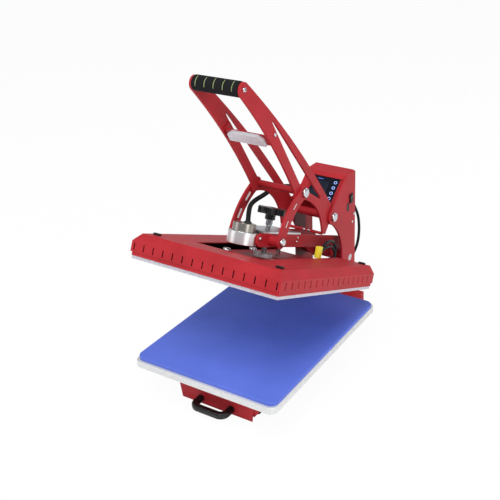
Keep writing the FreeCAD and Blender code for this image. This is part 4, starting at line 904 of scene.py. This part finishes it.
dress(red_coat, "red_paint", "arm_bridge", "handle_tube", "spur_bar")
dress(bright_chrome, "chrome", "handle_shaft", "knee_bolts")
dress(turned_steel, "steel", "grip_tube")
zinc_white = blasted_metal("blue_zinc_plate", "#e3e7ec", "#d6dade")
eased(zinc_white, "steel", 0.0010, "armature_plate")
arm_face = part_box("arm_right")[1].x
grip_low, grip_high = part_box("foam_grip")
grip_middle = (grip_low + grip_high) / 2
GRIP_SCREW = 0.0055
BRACKET_SCREW = 0.0048
BRACKET_SCREW_PLACE = (-0.0839, 0.6546)
for side_name, side in (("left", -1), ("right", 1)):
    button_screw("grip_screw_" + side_name, (side * arm_face, grip_middle.y, grip_middle.z),
                 (side, 0, 0), GRIP_SCREW, "handle")
    button_screw("bracket_screw_" + side_name, (side * arm_face, *BRACKET_SCREW_PLACE),
                 (side, 0, 0), BRACKET_SCREW, "handle")

spur_low, spur_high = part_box("spur_bar")
spur_middle = (spur_low + spur_high) / 2
SPUR_SCREW = 0.0045
SPUR_SCREWS_ASIDE = (0.007, 0.021)
SPUR_SCREW_SINK = 0.001
SPUR_SCREW_FACING = (0, -1, 0.3)
for number, x in enumerate(SPUR_SCREWS_ASIDE, start=1):
    button_screw("spur_screw_%d" % number,
                 (x, spur_low.y + SPUR_SCREW_SINK, spur_middle.z + SPUR_SCREW_SINK),
                 SPUR_SCREW_FACING, SPUR_SCREW, "handle")

GRIP_SIDES = 40
FOAM_SHARE = 0.92
FOAM_EDGE = 0.0025
grip_radius = FOAM_SHARE * (grip_high.z - grip_low.z) / 2
grip_half = (grip_high.x - grip_low.x) / 2
bpy.ops.object.select_all(action="DESELECT")
bpy.ops.mesh.primitive_cylinder_add(vertices=GRIP_SIDES, radius=grip_radius, depth=2 * grip_half,
                                    location=grip_middle, rotation=(0, math.pi / 2, 0))
foam = bpy.context.object
bpy.ops.object.transform_apply(location=True, rotation=True, scale=True)
edges_chosen(foam.data, lambda a, b: abs(a.x - b.x) < LEVEL)
bpy.ops.mesh.bevel(offset=FOAM_EDGE, segments=3)
bpy.ops.object.mode_set(mode="OBJECT")
bpy.ops.object.shade_smooth_by_angle(angle=math.radians(50))
fit(foam, "foam_sleeve", soft_rubber("black_foam_rubber", "#101113", 2.0, 0.85), "foam",
    "handle", "foam_grip")

# the sleeve has five printed arcs, which are drawn as raised bands 0.3 mm thick
MARK_COUNT = 5
MARK_PITCH = 0.0235
MARK_WIDTH = 0.0017
MARK_REACH = math.radians(40)
MARK_FACING = math.radians(35)
MARK_LIFT = 0.0001
MARK_RISE = 0.0003
mark_ink = lit_ink("printed_yellow_green", "#6f8228", 0.0)
for number in range(MARK_COUNT):
    x = (number - (MARK_COUNT - 1) / 2) * MARK_PITCH
    bpy.ops.object.select_all(action="DESELECT")
    bpy.ops.mesh.primitive_cylinder_add(
        vertices=72, radius=grip_radius + MARK_LIFT, depth=MARK_WIDTH, end_fill_type="NOTHING",
        location=(x, grip_middle.y, grip_middle.z), rotation=(0, math.pi / 2, 0))
    mark = bpy.context.object
    bpy.ops.object.transform_apply(location=True, rotation=True, scale=True)
    faces_chosen(mark.data, lambda face: abs(math.remainder(math.atan2(
        face.center.z - grip_middle.z, grip_middle.y - face.center.y) - MARK_FACING,
        math.tau)) > MARK_REACH)
    bpy.ops.mesh.delete(type="FACE")
    bpy.ops.object.mode_set(mode="OBJECT")
    wall = mark.modifiers.new("wall", "SOLIDIFY")
    wall.thickness = MARK_RISE
    wall.offset = 1
    bpy.ops.object.modifier_apply(modifier="wall")
    fit(mark, "grip_mark_%d" % (number + 1), mark_ink, "foam", "handle")


# Links
# Two curved link plates with slots turn on chrome dome bolts. White strips in their slots are
# painted light for the bright backdrop seen through them, and those in the left link are larger.
eased(red_coat, "red_paint", 0.0007, "link_left", "link_right")
dress(bright_chrome, "chrome", "link_bolts")

knee = joint_pivot("link_hinge")
link_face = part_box("link_right")[0].x
link_foot = Vector((0, -0.0801, 0.3821))
LINK_BOW = 0.014
LINK_SHEET = 0.006
STRIP = Vector((0.0048, 0.019, 0.0032))
WIDE_STRIP = Vector((0.0062, 0.026, 0.0072))
STRIP_CORNER = STRIP.z * 0.45
STRIP_PLACES = (0.048, 0.098)
# the white strips are painted light: the backdrop seen through the slots
painted_backdrop_white = moulded_plastic("painted_light_backdrop_white", "#f2f2f0", "#e6e6e4", 1.2, 0.4)
link_run = link_foot - knee
link_span = link_run.length
link_out = Vector((0, link_run.z, -link_run.y)) / link_span
for number, reach in enumerate(STRIP_PLACES, start=1):
    part_way = reach / link_span
    lift = 4 * LINK_BOW * part_way * (1 - part_way)
    lean = math.atan2(link_run.z, link_run.y) - math.atan(
        4 * LINK_BOW / link_span * (1 - 2 * part_way))
    for side_name, side in (("left", -1), ("right", 1)):
        bpy.ops.object.select_all(action="DESELECT")
        bpy.ops.mesh.primitive_cube_add(size=1, scale=STRIP if side > 0 else WIDE_STRIP)
        strip = bpy.context.object
        bpy.ops.object.transform_apply(location=False, rotation=False, scale=True)
        edges_chosen(strip.data, lambda a, b: abs(a.x - b.x) > LEVEL)
        bpy.ops.mesh.bevel(offset=STRIP_CORNER, segments=3)
        bpy.ops.object.mode_set(mode="OBJECT")
        strip.rotation_euler = (lean, 0, 0)
        strip.location = knee + link_run * part_way + link_out * lift
        strip.location.x = side * (link_face + LINK_SHEET / 2)
        bpy.ops.object.transform_apply(location=True, rotation=True, scale=True)
        fit(strip, "slot_strip_%s_%d" % (side_name, number), painted_backdrop_white, None, "links")
